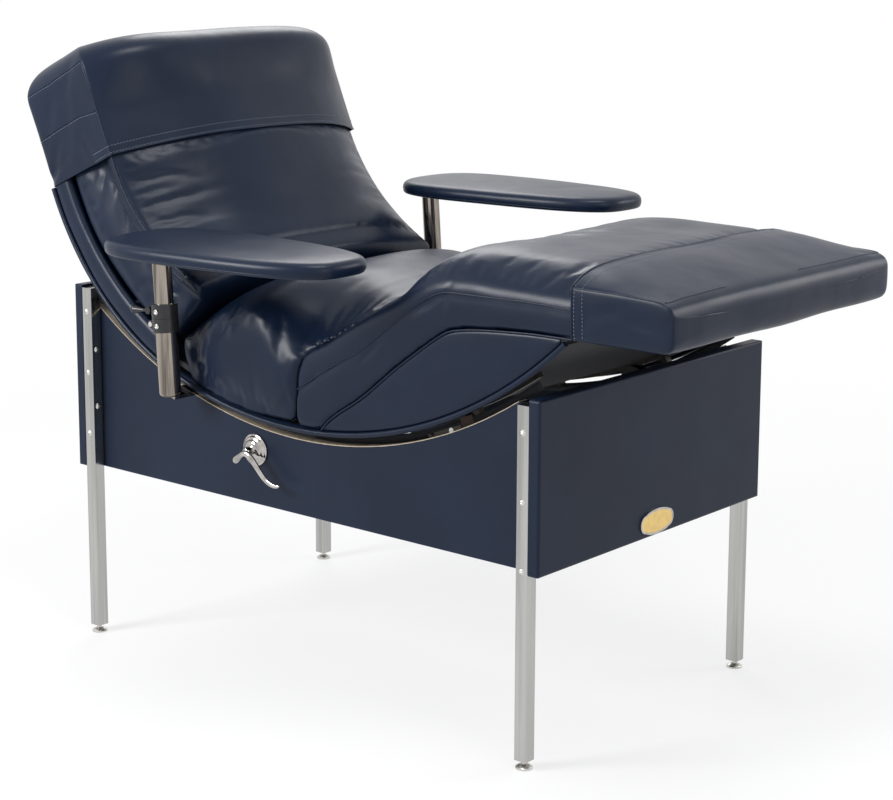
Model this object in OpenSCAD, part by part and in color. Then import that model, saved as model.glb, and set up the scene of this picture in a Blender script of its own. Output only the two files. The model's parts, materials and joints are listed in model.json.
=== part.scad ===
/* [Base frame] */
// Length of the base over the legs
base_len = 1106; // [1040:1:1160]
// Width of the base over the legs
base_wid = 678; // [660:1:700]
// Side of the square leg tube
leg_side = 25.4; // [22:0.2:30]
// Wall of the leg tube
leg_wall = 1.6; // [1.2:0.1:2.4]
// Height of the head legs' tops
head_leg_top = 699; // [690:1:705]
// Height of the foot legs' tops
foot_leg_top = 628; // [615:1:632]
// Height of the tubes' lower ends above the floor
leg_foot = 15; // [14:0.5:22]
// Thickness of the upholstered panels
panel_t = 22; // [18:0.5:25]
// Height of the panels' lower edges
panel_foot = 340; // [330:1:345]
// Height of the head panel's top
head_panel_top = 704; // [700:1:712]
// Height of the foot panel's top
foot_panel_top = 640; // [636:1:648]

/* [Rocker] */
// Distance of the rocking axis from the middle of the base
rock_x = 15; // [0:1:25]
// Height of the rocking axis
rock_z = 1397; // [1392:1:1402]
// Radius of the piped lower edge of the lounge
rocker_r = 893; // [888:0.5:896]
// Radius of the piping cord
cord_r = 5; // [4:0.5:5.5]
// Angle of the rocker from its lowest point to the foot end
foot_angle = 42.6; // [41:0.2:43]
// Gap between the piping and the edge of the side panels
rocker_gap = 18; // [17:0.5:22]
// Angle through which the lounge rocks
rock_travel = 14; // [10:1:14]

/* [Lounge] */
// Width of the lounge over its side boards
lounge_wid = 672; // [655:1:690]
// Thickness of the side boards
board_t = 22; // [18:0.5:24]
// Angle from the lowest point at which the back starts to curl up
tail_start = 20; // [18:0.5:22]
// Radius of the curl below the back
tail_r = 600; // [580:5:620]
// Slope of the straight part of the back
back_slope = 66; // [62:1:70]
// Length of the straight part of the back
back_len = 244; // [235:1:255]
// Thickness of the back at its front seam
back_t = 193; // [180:1:205]
// Height of the back cushion's crown over its seam
back_crown = 88; // [60:1:95]
// Depth of the back's side boards
back_board_d = 52; // [45:1:60]
// Length of the leg rest
leg_len = 808; // [780:2:820]
// Height of the leg rest over its lowest edge
leg_rise = 350; // [330:1:360]
// Height of the leg cushion's crown over its edge
leg_crown = 52; // [40:1:60]
// Height of the bolster seat at its top
seat_top = 766; // [750:1:780]
// Thickness of the slip covers
cover_t = 3; // [2:0.5:4]

/* [Arm rests] */
// Length of an arm rest
pad_len = 535; // [480:5:560]
// Width of an arm rest at its middle
pad_wid = 248; // [200:2:260]
// Thickness of an arm rest
pad_t = 26; // [22:1:32]
// Height of the right arm rest's underside
right_pad_z = 813; // [808:1:830]
// Height of the left arm rest's underside
left_pad_z = 843; // [808:1:860]
// Outer diameter of the post tube
post_d = 36; // [32:0.5:38]
// Backward lean of the posts
post_lean = 4; // [0:0.5:5]
// Outer diameter of the post clamps
ring_d = 49; // [47:0.5:52]
// Height of one post clamp
ring_h = 26; // [22:0.5:28]

/* [Rollers and brake] */
// Radius of a roller in its groove
roller_r = 21.9; // [20:0.1:22]
// Height of a roller's flange over its groove
flange_h = 5; // [3:0.5:5]
// Width of a roller
roller_w = 24; // [22:0.5:26]
// Width of a rail
rail_w = 12; // [10:0.5:13]
// Travel of the brake shoe
shoe_travel = 3; // [1.5:0.1:3.5]
// Turn of the lock handle
handle_turn = 60; // [45:1:70]
// Reach of the lock handle's blade
handle_reach = 92; // [80:1:100]

/* [Hidden] */
$fn = 48;

// Clearances shared by all parts
seat_gap = 0.2;
soft_gap = 0.3;
run_gap = 0.5;
over = 4;
deg = 180/PI;

// Colours
navy = [0.07, 0.10, 0.19];
chrome = [0.78, 0.79, 0.80];
zinc = [0.70, 0.70, 0.68];
dark = [0.12, 0.12, 0.13];
gold = [0.80, 0.62, 0.25];
beige = [0.72, 0.66, 0.55];
brown = [0.25, 0.15, 0.10];
wood = [0.66, 0.52, 0.36];

// Base
leg_x = base_len/2 - leg_side/2;
leg_y = base_wid/2 - leg_side/2;
panel_out = base_wid/2 - leg_side - seat_gap;
panel_in = panel_out - panel_t;
end_in = base_len/2 + seat_gap;
panel_soft_r = 5;
leg_corner_r = 2.5;
head_flat_top = head_leg_top - leg_corner_r;
foot_flat_top = foot_leg_top - leg_corner_r;
trim_t = 1.6;
trim_end_a = 0.4;
edge_r = rocker_r + cord_r + rocker_gap;
plug_h = 26;
plaque_w = 100;
plaque_h = 46;
plaque_up = 27;
plaque_z = panel_foot + plaque_up;
plaque_t = 3;
plaque_rim_w = 4;
oval_end_share = 0.36;

// Screws of the legs
screw_r = 2.5;
screw_head_r = 6.2;
screw_head_h = 3.2;
screw_bite = 14;
screw_len = leg_side + screw_bite;
cross_w = 1.2;
cross_len = 6;
head_side_z_shares = [0.87, 0.532, 0.192];
head_end_z_shares = [0.66, 0.343];
foot_side_z_shares = [0.84, 0.431, 0.021];
foot_end_z_shares = [0.64, 0.22];

// Glides
glide_r = 15;
glide_stem_r = 4;
glide_stem_h = 34;
glide_rim_h = 3;
glide_dome_h = 5.5;

// Rocker parts
board_r = rocker_r - cord_r - seat_gap;
board_tuck = 5.8;
deck_t = 10;
rail_t = 8.8;
under_r = board_r - board_tuck;
deck_r = under_r - deck_t;
rail_r = under_r + seat_gap + rail_t;
board_in = lounge_wid/2 - board_t;
cord_y = board_in + board_t - cord_r;
rail_off = 36.4;
rail_y = panel_in - rail_off;
rail_head_a = -33;
rail_foot_a = 34;
foot_roller_a = 21.4;
head_roller_a = -18;
roller_c = rail_r + seat_gap + roller_r;
flange_r = roller_r + flange_h;
axle_r = 5;
bracket_t = 2.8;
bracket_hw = 24;
bracket_foot = 62;
cheek_hw = 13;
tab_out = 54;
tab_h = 20;
hook_r = 5;
cheek_t = 3;
cheek_y = rail_y - roller_w/2 - 2*run_gap - cheek_t;
stop_a = 24;
stop_hw = 14;
stop_top = 7;
stop_h = 38;
lug_off = 17.5;
lug_y = rail_y + lug_off;
lug_w = 15;
lug_out = 13;
lug_hw = 14;

// Lock and brake
lock_a = -7.1;
lock_drop = 68.4;
lock_c = rocker_r + lock_drop;
shaft_r = 6;
shoe_w = 17;
shaft_in = rail_y - shoe_w/2 - over;
shoe_hw = 26;
shoe_h = 30;
lining_t = 6;
cam_fall = shoe_travel/(handle_turn/deg);
cam_margin = 18;
cam_step = 6;
nose_hw = 4;
rosette_r = 30;
rosette_h = 4;
boss_r = 13;
boss_h = 9;
hub_r = 9;
hub_h = 7;
bulb_r = 8.5;
blade_t = 5;
knob_cut = 3.4;
bulb_reach = [0.327*handle_reach, 0.154*handle_reach];
blade_drop_share = 0.51;
blade_wave_share = 0.09;
blade_width_shares = [[0, 0.85], [0.5, 0.7], [0.8, 0.53], [0.9, 0.42], [1, 0.25]];
neck_shares = [0.6, -0.8];

// Arm rests
arm_a = -17.6;
post_out = 47;
post_y = lounge_wid/2 + post_out;
socket_wall = 2;
socket_gap = 0.5;
socket_r = post_d/2 + socket_gap + socket_wall;
socket_foot_out = 0.8305;
socket_foot_up = -7.0816;
bar_gap = 1;
bar_top_r = rocker_r + cord_r + bar_gap;
socket_foot_x = rim(bar_top_r, arm_a)[0] + socket_foot_out;
socket_foot_z = rim(bar_top_r, arm_a)[1] + socket_foot_up;
bar_t = 8;
bar_hw = 15;
bar_reach = 21;
bar_in = panel_in - bar_reach;
clamp_gap = 0.4;
socket_len = 122;
post_start = 14;
plate_r = 34;
plate_t = 5;
pad_x = 227;
pad_y = 26;
pad_power = 3.2;
pad_taper = 0.15;
pad_round = 9;
ear_w = 14;
slit_w = 3;

// Lounge: along the leg rest, the share of its length and the heights of its edge, its seam and its crown
leg_x0 = 20;
leg_z0 = 514;
leg_shares = [
  [0, 0.217, 0, 0], [0.0087, 0.329, 0, 0.01], [0.038, 0.389, 0.004, 0.05], [0.073, 0.426, 0.009, 0.09],
  [0.1, 0.458, 0.053, 0.13], [0.13, 0.498, 0.103, 0.18],
  [0.174, 0.557, 0.168, 0.25], [0.23, 0.628, 0.263, 0.37],
  [0.29, 0.7, 0.372, 0.5], [0.346, 0.78, 0.467, 0.76], [0.401, 0.829, 0.557, 0.92], [0.443, 0.841, 0.614, 1],
  [0.51, 0.849, 0.642, 1], [0.615, 0.843, 0.661, 1], [0.745, 0.84, 0.67, 1], [0.838, 0.837, 0.671, 0.93],
  [0.914, 0.833, 0.671, 0.62], [0.965, 0.826, 0.671, 0.4],
  [0.988, 0.79, 0.7, 0.27], [0.993, 0.75, 0.71, 0.24]];
across_shares = [0, 0.25, 0.5, 0.7, 0.84, 0.946, 0.951, 0.98, 1];
row = [0:len(across_shares) - 1];
back_row = [len(across_shares) - 1:-1:0];
knee_power = 12;
side_tuck = 4;
side_start_share = 0.05;
deck_start_share = 0.105;
deck_end_share = 0.95;
board_meet_share = 0.5;
pad_points = 36;
pad_rows = [[0, 1], [0.12, 0.45], [0.35, 0.08], [0.65, 0.08], [0.88, 0.45], [1, 1]];
stud_r = 3;
nut_r = 1.6*stud_r;
upper_z = socket_len + ring_h + clamp_gap;
lever_len = 46;
lever_t = 7;
lever_hub_r = 7;
lever_bulb_r = 8;
fade_s = -420;
fade_end_s = -110;
fade_low_share = 0.3;
notch_shares = [0.02, 0.97];
board_end_a = 2;
cord_sides = 8;
cord_step = 3;

// Foot cover: share of its length, height of its edge, of its crown and of its underside
cover_share = 0.762;
cover_x = leg_x0 + cover_share*leg_len;
cover_proud = 2;
foot_end_x = leg_x0 + leg_len + cover_t;
foot_open_share = [-0.05, 1, 1, 0];
foot_shares = [[0, 1, 1, 0], [0.3, 0.99, 0.9, 0], [0.6, 0.975, 0.5, 0], [0.84, 0.955, 0.1, 0],
  [0.92, 0.9, 0.05, 0.03], [0.975, 0.78, 0.03, 0.1], [1, 0.6, 0, 0.3]];
foot_nose_share = 0.9;
foot_crown = 31;
foot_power = 8;
foot_edge_h = 89.5;

// Bolster seat: share of its length, height of its top and of its underside
seat_back_x = -276;
seat_shares = [[0, 0.5, 0.42], [0.01, 0.58, 0.34], [0.027, 0.635, 0.258], [0.061, 0.683, 0.15],
  [0.118, 0.738, 0],
  [0.257, 0.841, 0], [0.392, 0.909, 0], [0.568, 0.976, 0], [0.76, 1, 0], [0.93, 1, 0], [0.985, 0.998, 0]];
seat_front_share = 0.24;
seat_tip_share = 0.2;
seat_fall_share = 0.17;
seat_edge_drop = 46;
seat_lift = 2;
seat_power = 7;

// Back: its boards, and its cushion's rounded ends and sides
back_skin = 2;
back_board_a = 40.6;
back_side_a = 22.8;
back_end_r = 60;
board_top_s = back_len - back_end_r - cover_t;
strip_lap = 0.01;
back_low_a = 24.8;
back_low_r = 26;
low_in_share = 0.15;
valley_in = 22;
side_shares = [[0.08, 0], [0.22, 0.6], [0.5, 1], [0.87, 0.2]];
boxed_side_shares = [[0.004, 1], [0.012, 0], [0.5, 0], [0.91, 0]];
crown_shares = [1, 0.985, 0.95, 0.88, 0.78, 0.64, 0.45, 0.23, 0];
crown_power = 2.5;
end_shares = [0, 0.4, 0.7, 0.88, 0.97, 1];
low_shares = [1, 0.95, 0.8, 0.5, 0];
arc_shares = [0.2, 0.4, 0.6, 0.8];
mid_shares = [0, 0.34, 0.68];
hem_s = 9;

// Positions along the rocker and along the back
function rim(r, a) = [rock_x + r*sin(a), rock_z - r*cos(a)];
tail_start_p = rim(rocker_r, -tail_start);
tail_x = tail_start_p[0] + tail_r*sin(tail_start);
tail_z = tail_start_p[1] + tail_r*cos(tail_start);
function back_at(s, d) =
  let(a = back_slope + min(s, 0)/tail_r*deg, u = max(s, 0))
  [tail_x - (tail_r - d)*sin(a) - u*cos(a), tail_z - (tail_r - d)*cos(a) + u*sin(a)];

// Moves its children from the origin to the rocking circle, with +Z towards the axis
module at_rim(r, a) {
  p = rim(r, a);
  translate([p[0], 0, p[1]]) rotate([0, -a, 0]) children();
}

// Right and left copies
module both_sides() {
  children();
  mirror([0, 1, 0]) children();
}

// Sheet of the lounge's side profile between two heights across
module slab(y0, y1) {
  translate([0, y1, 0]) rotate([90, 0, 0]) linear_extrude(y1 - y0) children();
}

// A body lofted through rings that all have the same number of points
module loft(rings) {
  n = len(rings[0]);
  m = len(rings);
  pts = [for (r = rings, p = r) p];
  ends = [for (r = [rings[0], rings[m - 1]])
    [for (k = [0:2]) let(c = [for (p = r) p[k]]) c*[for (q = c) 1]/n]];
  sides = [for (i = [0:m - 2], j = [0:n - 1]) let(a = i*n + j, b = i*n + (j + 1)%n, c = a + n, d = b + n)
    each [[a, b, d], [a, d, c]]];
  caps = [for (j = [0:n - 1]) let(k = (j + 1)%n)
    each [[k, j, m*n], [(m - 1)*n + j, (m - 1)*n + k, m*n + 1]]];
  polyhedron(concat(pts, ends), concat(sides, caps));
}

// The same rings in the other order
function turned(rings) = [for (i = [len(rings) - 1:-1:0]) rings[i]];

// Full ring from its half with y from 0 out to the edge and back to 0
function whole(half) =
  let(n = len(half))
  concat(half, [for (i = [n - 2:-1:1]) [half[i][0], -half[i][1], half[i][2]]]);

// Legs
module leg(sx, sy, top) {
  color(chrome)
  translate([sx*leg_x, sy*leg_y, 0]) difference() {
    union() {
      difference() {
        translate([0, 0, leg_foot]) linear_extrude(top - leg_foot) rounded(leg_side, leg_side, leg_corner_r);
        translate([0, 0, leg_foot - over]) linear_extrude(top - leg_foot - leg_wall + over)
          rounded(leg_side - 2*leg_wall, leg_side - 2*leg_wall, leg_corner_r - leg_wall/2);
      }
      translate([0, 0, leg_foot]) linear_extrude(plug_h)
        square(leg_side - leg_wall, center = true);
    }
    translate([0, 0, leg_foot - over]) cylinder(r = glide_stem_r + seat_gap, h = plug_h + 2*over);
    for (z = side_screw_z(sx))
      translate([0, 0, z]) rotate([90, 0, 0])
        cylinder(r = screw_r + seat_gap, h = leg_side + 2*over, center = true);
    for (z = end_screw_z(sx))
      translate([0, 0, z]) rotate([0, 90, 0])
        cylinder(r = screw_r + seat_gap, h = leg_side + 2*over, center = true);
  }
}
module rounded(w, h, r) {
  square([w - 2*r, h], center = true);
  square([w, h - 2*r], center = true);
  for (x = [-1, 1], y = [-1, 1]) translate([x*(w/2 - r), y*(h/2 - r)]) circle(r);
}
function side_screw_z(sx) = sx < 0
  ? [for (k = head_side_z_shares) panel_foot + k*(head_leg_top - panel_foot)]
  : [for (k = foot_side_z_shares) panel_foot + k*(foot_leg_top - panel_foot)];
function end_screw_z(sx) = sx < 0
  ? [for (k = head_end_z_shares) panel_foot + k*(head_leg_top - panel_foot)]
  : [for (k = foot_end_z_shares) panel_foot + k*(foot_leg_top - panel_foot)];

// Side panel with its dished top
module side_panel(sy) {
  len = base_len - 2*seat_gap;
  color(navy)
  difference() {
    slab_at(sy, panel_in, panel_out) difference() {
      panel_outline(len);
      translate([rock_x, rock_z]) circle(edge_r + trim_t, $fn = 180);
    }
    side_screw_holes(sy);
    if (sy < 0)
      at_rim(lock_c, lock_a) rotate([90, 0, 0])
        cylinder(r = shaft_r + seat_gap, h = base_wid);
  }
}
module panel_outline(len) {
  head_top = head_flat_top;
  foot_top = foot_flat_top;
  r = panel_soft_r;
  rounded_between(-len/2, panel_foot, 0, head_top, r);
  rounded_between(-len/4, panel_foot, len/2, foot_top, r);
}
module rounded_between(x0, z0, x1, z1, r) {
  translate([(x0 + x1)/2, (z0 + z1)/2]) rounded(x1 - x0, z1 - z0, r);
}
module slab_at(sy, y0, y1) {
  if (sy > 0) slab(y0, y1) children();
  else slab(-y1, -y0) children();
}
module side_screw_holes(sy) {
  for (sx = [-1, 1], z = side_screw_z(sx))
    translate([sx*leg_x, sy*(base_wid/2 - screw_len - over), z]) rotate([-sy*90, 0, 0])
      cylinder(r = screw_r + seat_gap, h = screw_len + 2*over);
}

// Pale strip on the dished edge of both side panels
module panel_trims() {
  head_a = asin((base_len/2 - seat_gap + rock_x)/(edge_r + trim_t)) - trim_end_a;
  foot_a = acos((rock_z - foot_flat_top)/(edge_r + trim_t));
  color(beige)
  both_sides() translate([0, panel_in + seat_gap, 0]) translate([rock_x, 0, rock_z]) rotate([-90, 0, 0])
    rotate([0, 0, 90 - foot_a]) rotate_extrude(angle = head_a + foot_a, $fn = 180)
      translate([edge_r, 0]) square([trim_t - seat_gap/2, panel_t - 2*seat_gap]);
}

// Head and foot panels
module end_panel(sx, top) {
  h = top - panel_foot;
  r = panel_soft_r;
  color(navy)
  difference() {
    intersection() {
      translate([sx*(end_in + panel_t/2), 0, panel_foot + h/2]) rotate([90, 0, 90])
        linear_extrude(panel_t, center = true) rounded(base_wid, h, r);
      translate([sx*(end_in + panel_t/2), 0, panel_foot]) linear_extrude(h)
        soft_front(sx, panel_t, base_wid, r);
      translate([sx*(end_in + panel_t/2), base_wid/2, panel_foot + h/2]) rotate([90, 0, 0])
        linear_extrude(base_wid) soft_front(sx, panel_t, h, r);
    }
    for (sy = [-1, 1], z = end_screw_z(sx))
      translate([sx*(end_in - over), sy*leg_y, z]) rotate([0, sx*90, 0])
        cylinder(r = screw_r + seat_gap, h = screw_len - leg_side + 2*over);
  }
}
// Rectangle with its two outer corners rounded
module soft_front(sx, w, h, r) {
  rounded(w, h, r);
  translate([-sx*w/4, 0]) square([w/2, h], center = true);
}

// Bare oval plaque on the foot panel
module plaque_rim() {
  color(chrome)
  on_plaque() difference() {
    oval(plaque_w, plaque_h, plaque_t);
    translate([0, 0, plaque_t/2]) oval(plaque_w - 2*plaque_rim_w, plaque_h - 2*plaque_rim_w, plaque_t);
  }
}
module plaque_face() {
  color(gold)
  on_plaque() translate([0, 0, plaque_t/2 + seat_gap/2])
    oval(plaque_w - 2*plaque_rim_w - seat_gap, plaque_h - 2*plaque_rim_w - seat_gap, plaque_t/2 - seat_gap);
}
module on_plaque() {
  translate([end_in + panel_t + seat_gap/2, 0, plaque_z]) rotate([90, 0, 90]) children();
}
// Oval plate of four tangent arcs
module oval(w, h, t) {
  small_r = h*oval_end_share;
  c = w/2 - small_r;
  big_r = (c*c + h*h/4 - small_r*small_r)/(h - 2*small_r);
  linear_extrude(t) union() {
    intersection() {
      translate([0, h/2 - big_r]) circle(big_r, $fn = 180);
      translate([0, big_r - h/2]) circle(big_r, $fn = 180);
      square([2*c, h], center = true);
    }
    for (s = [-1, 1]) translate([s*c, 0]) circle(small_r);
  }
}

// Screws through the legs
module leg_screws() {
  color(zinc)
  for (sx = [-1, 1], sy = [-1, 1]) {
    for (z = side_screw_z(sx))
      translate([sx*leg_x, sy*(base_wid/2 + seat_gap/2), z]) rotate([-sy*90, 0, 0]) screw();
    for (z = end_screw_z(sx))
      translate([sx*(leg_x - leg_side/2 - seat_gap/2), sy*leg_y, z]) rotate([0, -sx*90, 0]) screw();
  }
}
// Domed cross-head screw, its head standing on z = 0
module screw() {
  ball_r = (screw_head_r*screw_head_r + screw_head_h*screw_head_h)/(2*screw_head_h);
  difference() {
    union() {
      translate([0, 0, -screw_len]) cylinder(r = screw_r, h = screw_len + screw_head_h/2);
      rotate_extrude() intersection() {
        translate([0, screw_head_h - ball_r]) circle(ball_r, $fn = 90);
        square([screw_head_r, screw_head_h]);
      }
    }
    for (a = [0, 90]) rotate([0, 0, a]) translate([0, 0, screw_head_h])
      cube([cross_len, cross_w, screw_head_h], center = true);
  }
}

// Levelling glide
module glide(sx, sy) {
  color(zinc)
  translate([sx*leg_x, sy*leg_y, 0]) {
    rotate_extrude() {
      square([glide_r, glide_rim_h]);
      translate([0, glide_rim_h]) intersection() {
        dome_circle(glide_r, glide_dome_h);
        square([glide_r, glide_dome_h]);
      }
    }
    cylinder(r = glide_stem_r, h = glide_rim_h + glide_dome_h + glide_stem_h - over);
  }
}
module dome_circle(r, h) {
  ball_r = (r*r + h*h)/(2*h);
  translate([0, h - ball_r]) circle(ball_r, $fn = 120);
}

// Grooved roller on its axle, and the bracket that carries it
module roller(a, sy) {
  color(dark)
  at_rim(roller_c, a) translate([0, sy*rail_y, 0]) rotate([90, 0, 0]) rotate_extrude($fn = 96)
    difference() {
      translate([axle_r + seat_gap, -roller_w/2]) square([flange_r - axle_r - seat_gap, roller_w]);
      translate([roller_r, -rail_w/2 - 2*seat_gap]) square([over + flange_h, rail_w + 4*seat_gap]);
    }
}
module roller_axles() {
  color(zinc)
  both_sides() for (a = [head_roller_a, foot_roller_a])
    at_rim(roller_c, a) translate([0, cheek_y - cheek_t/2, 0]) rotate([-90, 0, 0])
      cylinder(r = axle_r, h = panel_in - cheek_y + cheek_t/2);
}
module roller_brackets() {
  plate_y = panel_in - seat_gap - bracket_t;
  color(zinc)
  both_sides() for (a = [head_roller_a, foot_roller_a]) at_rim(roller_c, a) difference() {
    union() {
      slab(plate_y, plate_y + bracket_t) bracket_outline(a);
      slab(cheek_y, cheek_y + cheek_t)
        translate([-cheek_hw, -bracket_foot]) square([2*cheek_hw, bracket_foot + axle_r]);
      translate([-cheek_hw, cheek_y, -bracket_foot])
        cube([2*cheek_hw, plate_y + bracket_t - cheek_y, bracket_t]);
    }
    translate([0, cheek_y - over, 0]) rotate([-90, 0, 0])
      cylinder(r = axle_r + seat_gap, h = panel_in - cheek_y + over);
  }
}
// Base plate with a notched tab towards the head end on the foot pair
module bracket_outline(a) {
  difference() {
    union() {
      translate([-bracket_hw, -bracket_foot]) square([2*bracket_hw, bracket_foot + axle_r]);
      if (a > 0) translate([-tab_out, axle_r - tab_h]) square([tab_out, tab_h]);
    }
    if (a > 0) translate([-tab_out + 2*hook_r, axle_r]) circle(hook_r);
  }
}

// Rubber stops beside the foot rollers
module stop_blocks() {
  color(brown)
  both_sides() at_rim(rail_r, stop_a)
    translate([-stop_hw, lug_y, -stop_top - stop_h]) cube([2*stop_hw, panel_in - seat_gap - lug_y, stop_h]);
}

// Rails under the lounge, each with two stop lugs
module rail(sy) {
  stop_half = atan((stop_hw + soft_gap)/(rail_r + stop_top));
  lug_a = lug_hw/rail_r*deg;
  color(zinc)
  translate([rock_x, 0, rock_z]) {
    ring_arc(rail_r - rail_t, rail_t, sy*rail_y - rail_w/2, rail_w, rail_head_a, rail_foot_a);
    for (a = [stop_a + stop_half, stop_a - stop_half - rock_travel - lug_a]) {
      ring_arc(rail_r - rail_t, rail_t - flange_h - run_gap, min(sy*(rail_y - rail_w/2), sy*(lug_y + lug_w)),
        lug_y + lug_w - rail_y + rail_w/2, a, a + lug_a);
      ring_arc(rail_r - rail_t, rail_t + lug_out, min(sy*lug_y, sy*(lug_y + lug_w)), lug_w, a, a + lug_a);
    }
  }
}
// Arc of a ring about Y, from angle a0 to a1 measured from straight down towards +X
module ring_arc(r, t, y, w, a0, a1) {
  translate([0, y, 0]) rotate([-90, 0, 0]) rotate([0, 0, 90 - a1])
    rotate_extrude(angle = a1 - a0, $fn = 180) translate([r, 0]) square([t, w]);
}

// Lock: rosette, shaft, cam and handle
module lock_rosette() {
  color(chrome)
  at_rim(lock_c, lock_a) translate([0, -panel_out - seat_gap, 0]) rotate([90, 0, 0]) rotate_extrude()
    difference() {
      union() {
        square([rosette_r, rosette_h/2]);
        translate([0, rosette_h/2]) intersection() {
          dome_circle(rosette_r - rosette_h/2, rosette_h);
          square([rosette_r, rosette_h]);
        }
        square([boss_r, rosette_h + boss_h]);
      }
      translate([0, -over]) square([shaft_r + seat_gap, rosette_h + boss_h + 2*over]);
    }
}
module lock_shaft() {
  color(zinc)
  at_rim(lock_c, lock_a) translate([0, -shaft_in, 0]) rotate([90, 0, 0])
    cylinder(r = shaft_r, h = handle_y() + hub_h/2 - shaft_in);
}
function handle_y() = panel_out + seat_gap + rosette_h + boss_h + seat_gap;
function cam_r(a) = lock_c - shoe_foot_r() - run_gap - cam_fall*max(a, 0)/deg;
function shoe_foot_r() = rail_r + seat_gap + lining_t + shoe_h + shoe_travel + cam_fall*2;
module lock_cam() {
  base_r = cam_r(handle_turn) - shoe_travel;
  color(zinc)
  at_rim(lock_c, lock_a) slab(-rail_y - shoe_w/2, -rail_y + shoe_w/2) difference() {
    union() {
      circle(base_r);
      polygon(concat([[0, 0]], [for (a = [-cam_margin:cam_step:handle_turn + cam_margin])
        let(r = cam_r(a)) [-r*sin(a), r*cos(a)]]));
    }
    circle(shaft_r + seat_gap);
  }
}
module lock_handle() {
  color(chrome)
  at_rim(lock_c, lock_a) rotate([0, lock_a, 0]) translate([0, -handle_y(), 0]) rotate([90, 0, 0]) {
    difference() {
      union() {
        cylinder(r = hub_r, h = hub_h);
        translate([-bulb_reach[0], -bulb_reach[1], hub_h/2]) knob();
        translate([0, 0, hub_h/2 - blade_t/2]) linear_extrude(blade_t) blade_outline();
      }
      translate([0, 0, -over]) cylinder(r = shaft_r + seat_gap, h = hub_h/2 + over);
    }
  }
}
// Drum with both its rims cut back, in place of a ball
module knob() {
  flat = bulb_r - knob_cut;
  cylinder(r = bulb_r, h = 2*knob_cut, center = true);
  translate([0, 0, knob_cut]) cylinder(r1 = bulb_r, r2 = flat, h = knob_cut);
  mirror([0, 0, 1]) translate([0, 0, knob_cut]) cylinder(r1 = bulb_r, r2 = flat, h = knob_cut);
}
// S-curved blade that narrows to its tip, and the neck of the bulb
module blade_outline() {
  top = [for (k = [0:0.1:1]) blade_mid(k) + [0, blade_hw(k)]];
  low = [for (k = [1:-0.1:0]) blade_mid(k) - [0, blade_hw(k)]];
  polygon(concat(top, low));
  polygon([[0, hub_r*neck_shares[0]], [0, hub_r*neck_shares[1]],
    -bulb_reach - [0, bulb_r/2], -bulb_reach + [0, bulb_r/2]]);
}
function blade_mid(k) = [k*handle_reach, -handle_reach*(blade_drop_share*k + blade_wave_share*sin(360*k))];
function blade_hw(k) = hub_r*lookup(k, blade_width_shares);

// Brake shoe, its lining and its guide on the side panel
module brake_shoe() {
  color(zinc)
  at_rim(rail_r, lock_a) {
    translate([-shoe_hw, -rail_y - shoe_w/2, -seat_gap - lining_t - shoe_h/2])
      cube([2*shoe_hw, shoe_w, shoe_h/2 - seat_gap]);
    translate([-nose_hw, -rail_y - shoe_w/2, rail_r - shoe_foot_r()])
      cube([2*nose_hw, shoe_w, shoe_foot_r() - rail_r - lining_t - shoe_h/4]);
  }
}
module brake_pad() {
  color(brown)
  translate([rock_x, 0, rock_z])
    ring_arc(rail_r + seat_gap, lining_t - 2*seat_gap, -rail_y - rail_w/2, rail_w,
      lock_a - shoe_hw/rail_r*deg, lock_a + shoe_hw/rail_r*deg);
}
module brake_guide() {
  post = shoe_hw + run_gap;
  low = -lining_t - shoe_h - shoe_travel;
  h = -low - (bar_top_r + bar_t + 2*run_gap - rail_r);
  color(zinc)
  at_rim(rail_r, lock_a) {
    slab(-panel_in + seat_gap, -panel_in + seat_gap + bracket_t)
      translate([-post - bracket_t, low]) square([2*post + 2*bracket_t, h]);
    for (x = [-post - bracket_t, post])
      translate([x, -panel_in + seat_gap, low])
        cube([bracket_t, panel_in - rail_y + shoe_w/2 - seat_gap, h]);
  }
}

// Heights along the leg rest, and the boards below it
function leg_px(k) = leg_x0 + k*leg_len;
function leg_pz(k) = leg_z0 + k*leg_rise;
function leg_column(x, i) = lookup((x - leg_x0)/leg_len, [for (r = leg_shares) [r[0], r[i]]]);
function leg_edge(x) = leg_pz(leg_column(x, 1));
function leg_seam(x) = leg_pz(leg_column(x, 2));
function leg_crest(x) = leg_crown*leg_column(x, 3);
function leg_top(x, k) = leg_edge(x) + leg_crest(x)*(1 - pow(k, knee_power));
function circle_z(x, r) = rock_z - sqrt(r*r - (x - rock_x)*(x - rock_x));
function seam_line(x0, x1, up) =
  let(inner = [for (r = leg_shares) if (leg_px(r[0]) > x0 && leg_px(r[0]) < x1) leg_px(r[0])])
  [for (x = concat([x0], inner, [x1]))
    [x, leg_seam(x) + up]];
module leg_board(sy) {
  foot_x = rim(board_r, foot_angle)[0] - board_tuck;
  x0 = leg_px(side_start_share);
  color(navy)
  slab_at(sy, board_in, lounge_wid/2) intersection() {
    translate([rock_x, rock_z]) circle(board_r, $fn = 180);
    polygon(concat(seam_line(x0, foot_x, -soft_gap), [[foot_x, leg_z0 - board_t], [x0, leg_z0 - board_t]]));
  }
}
module leg_deck() {
  x0 = leg_px(deck_start_share);
  x1 = leg_px(deck_end_share);
  color(wood)
  slab(-board_in + seat_gap, board_in - seat_gap)
    polygon(concat(seam_line(x0, x1, 0), turned(seam_line(x0, x1, deck_t))));
}
module bottom_board() {
  color(wood)
  translate([rock_x, 0, rock_z]) ring_arc(deck_r, deck_t, -board_in + seat_gap, 2*board_in - 2*seat_gap,
    rail_head_a, foot_angle - board_end_a);
}
module back_board() {
  color(wood)
  slab(-board_in + seat_gap, board_in - seat_gap) back_strip(back_skin, deck_t, back_board_a, board_top_s);
}
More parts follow.
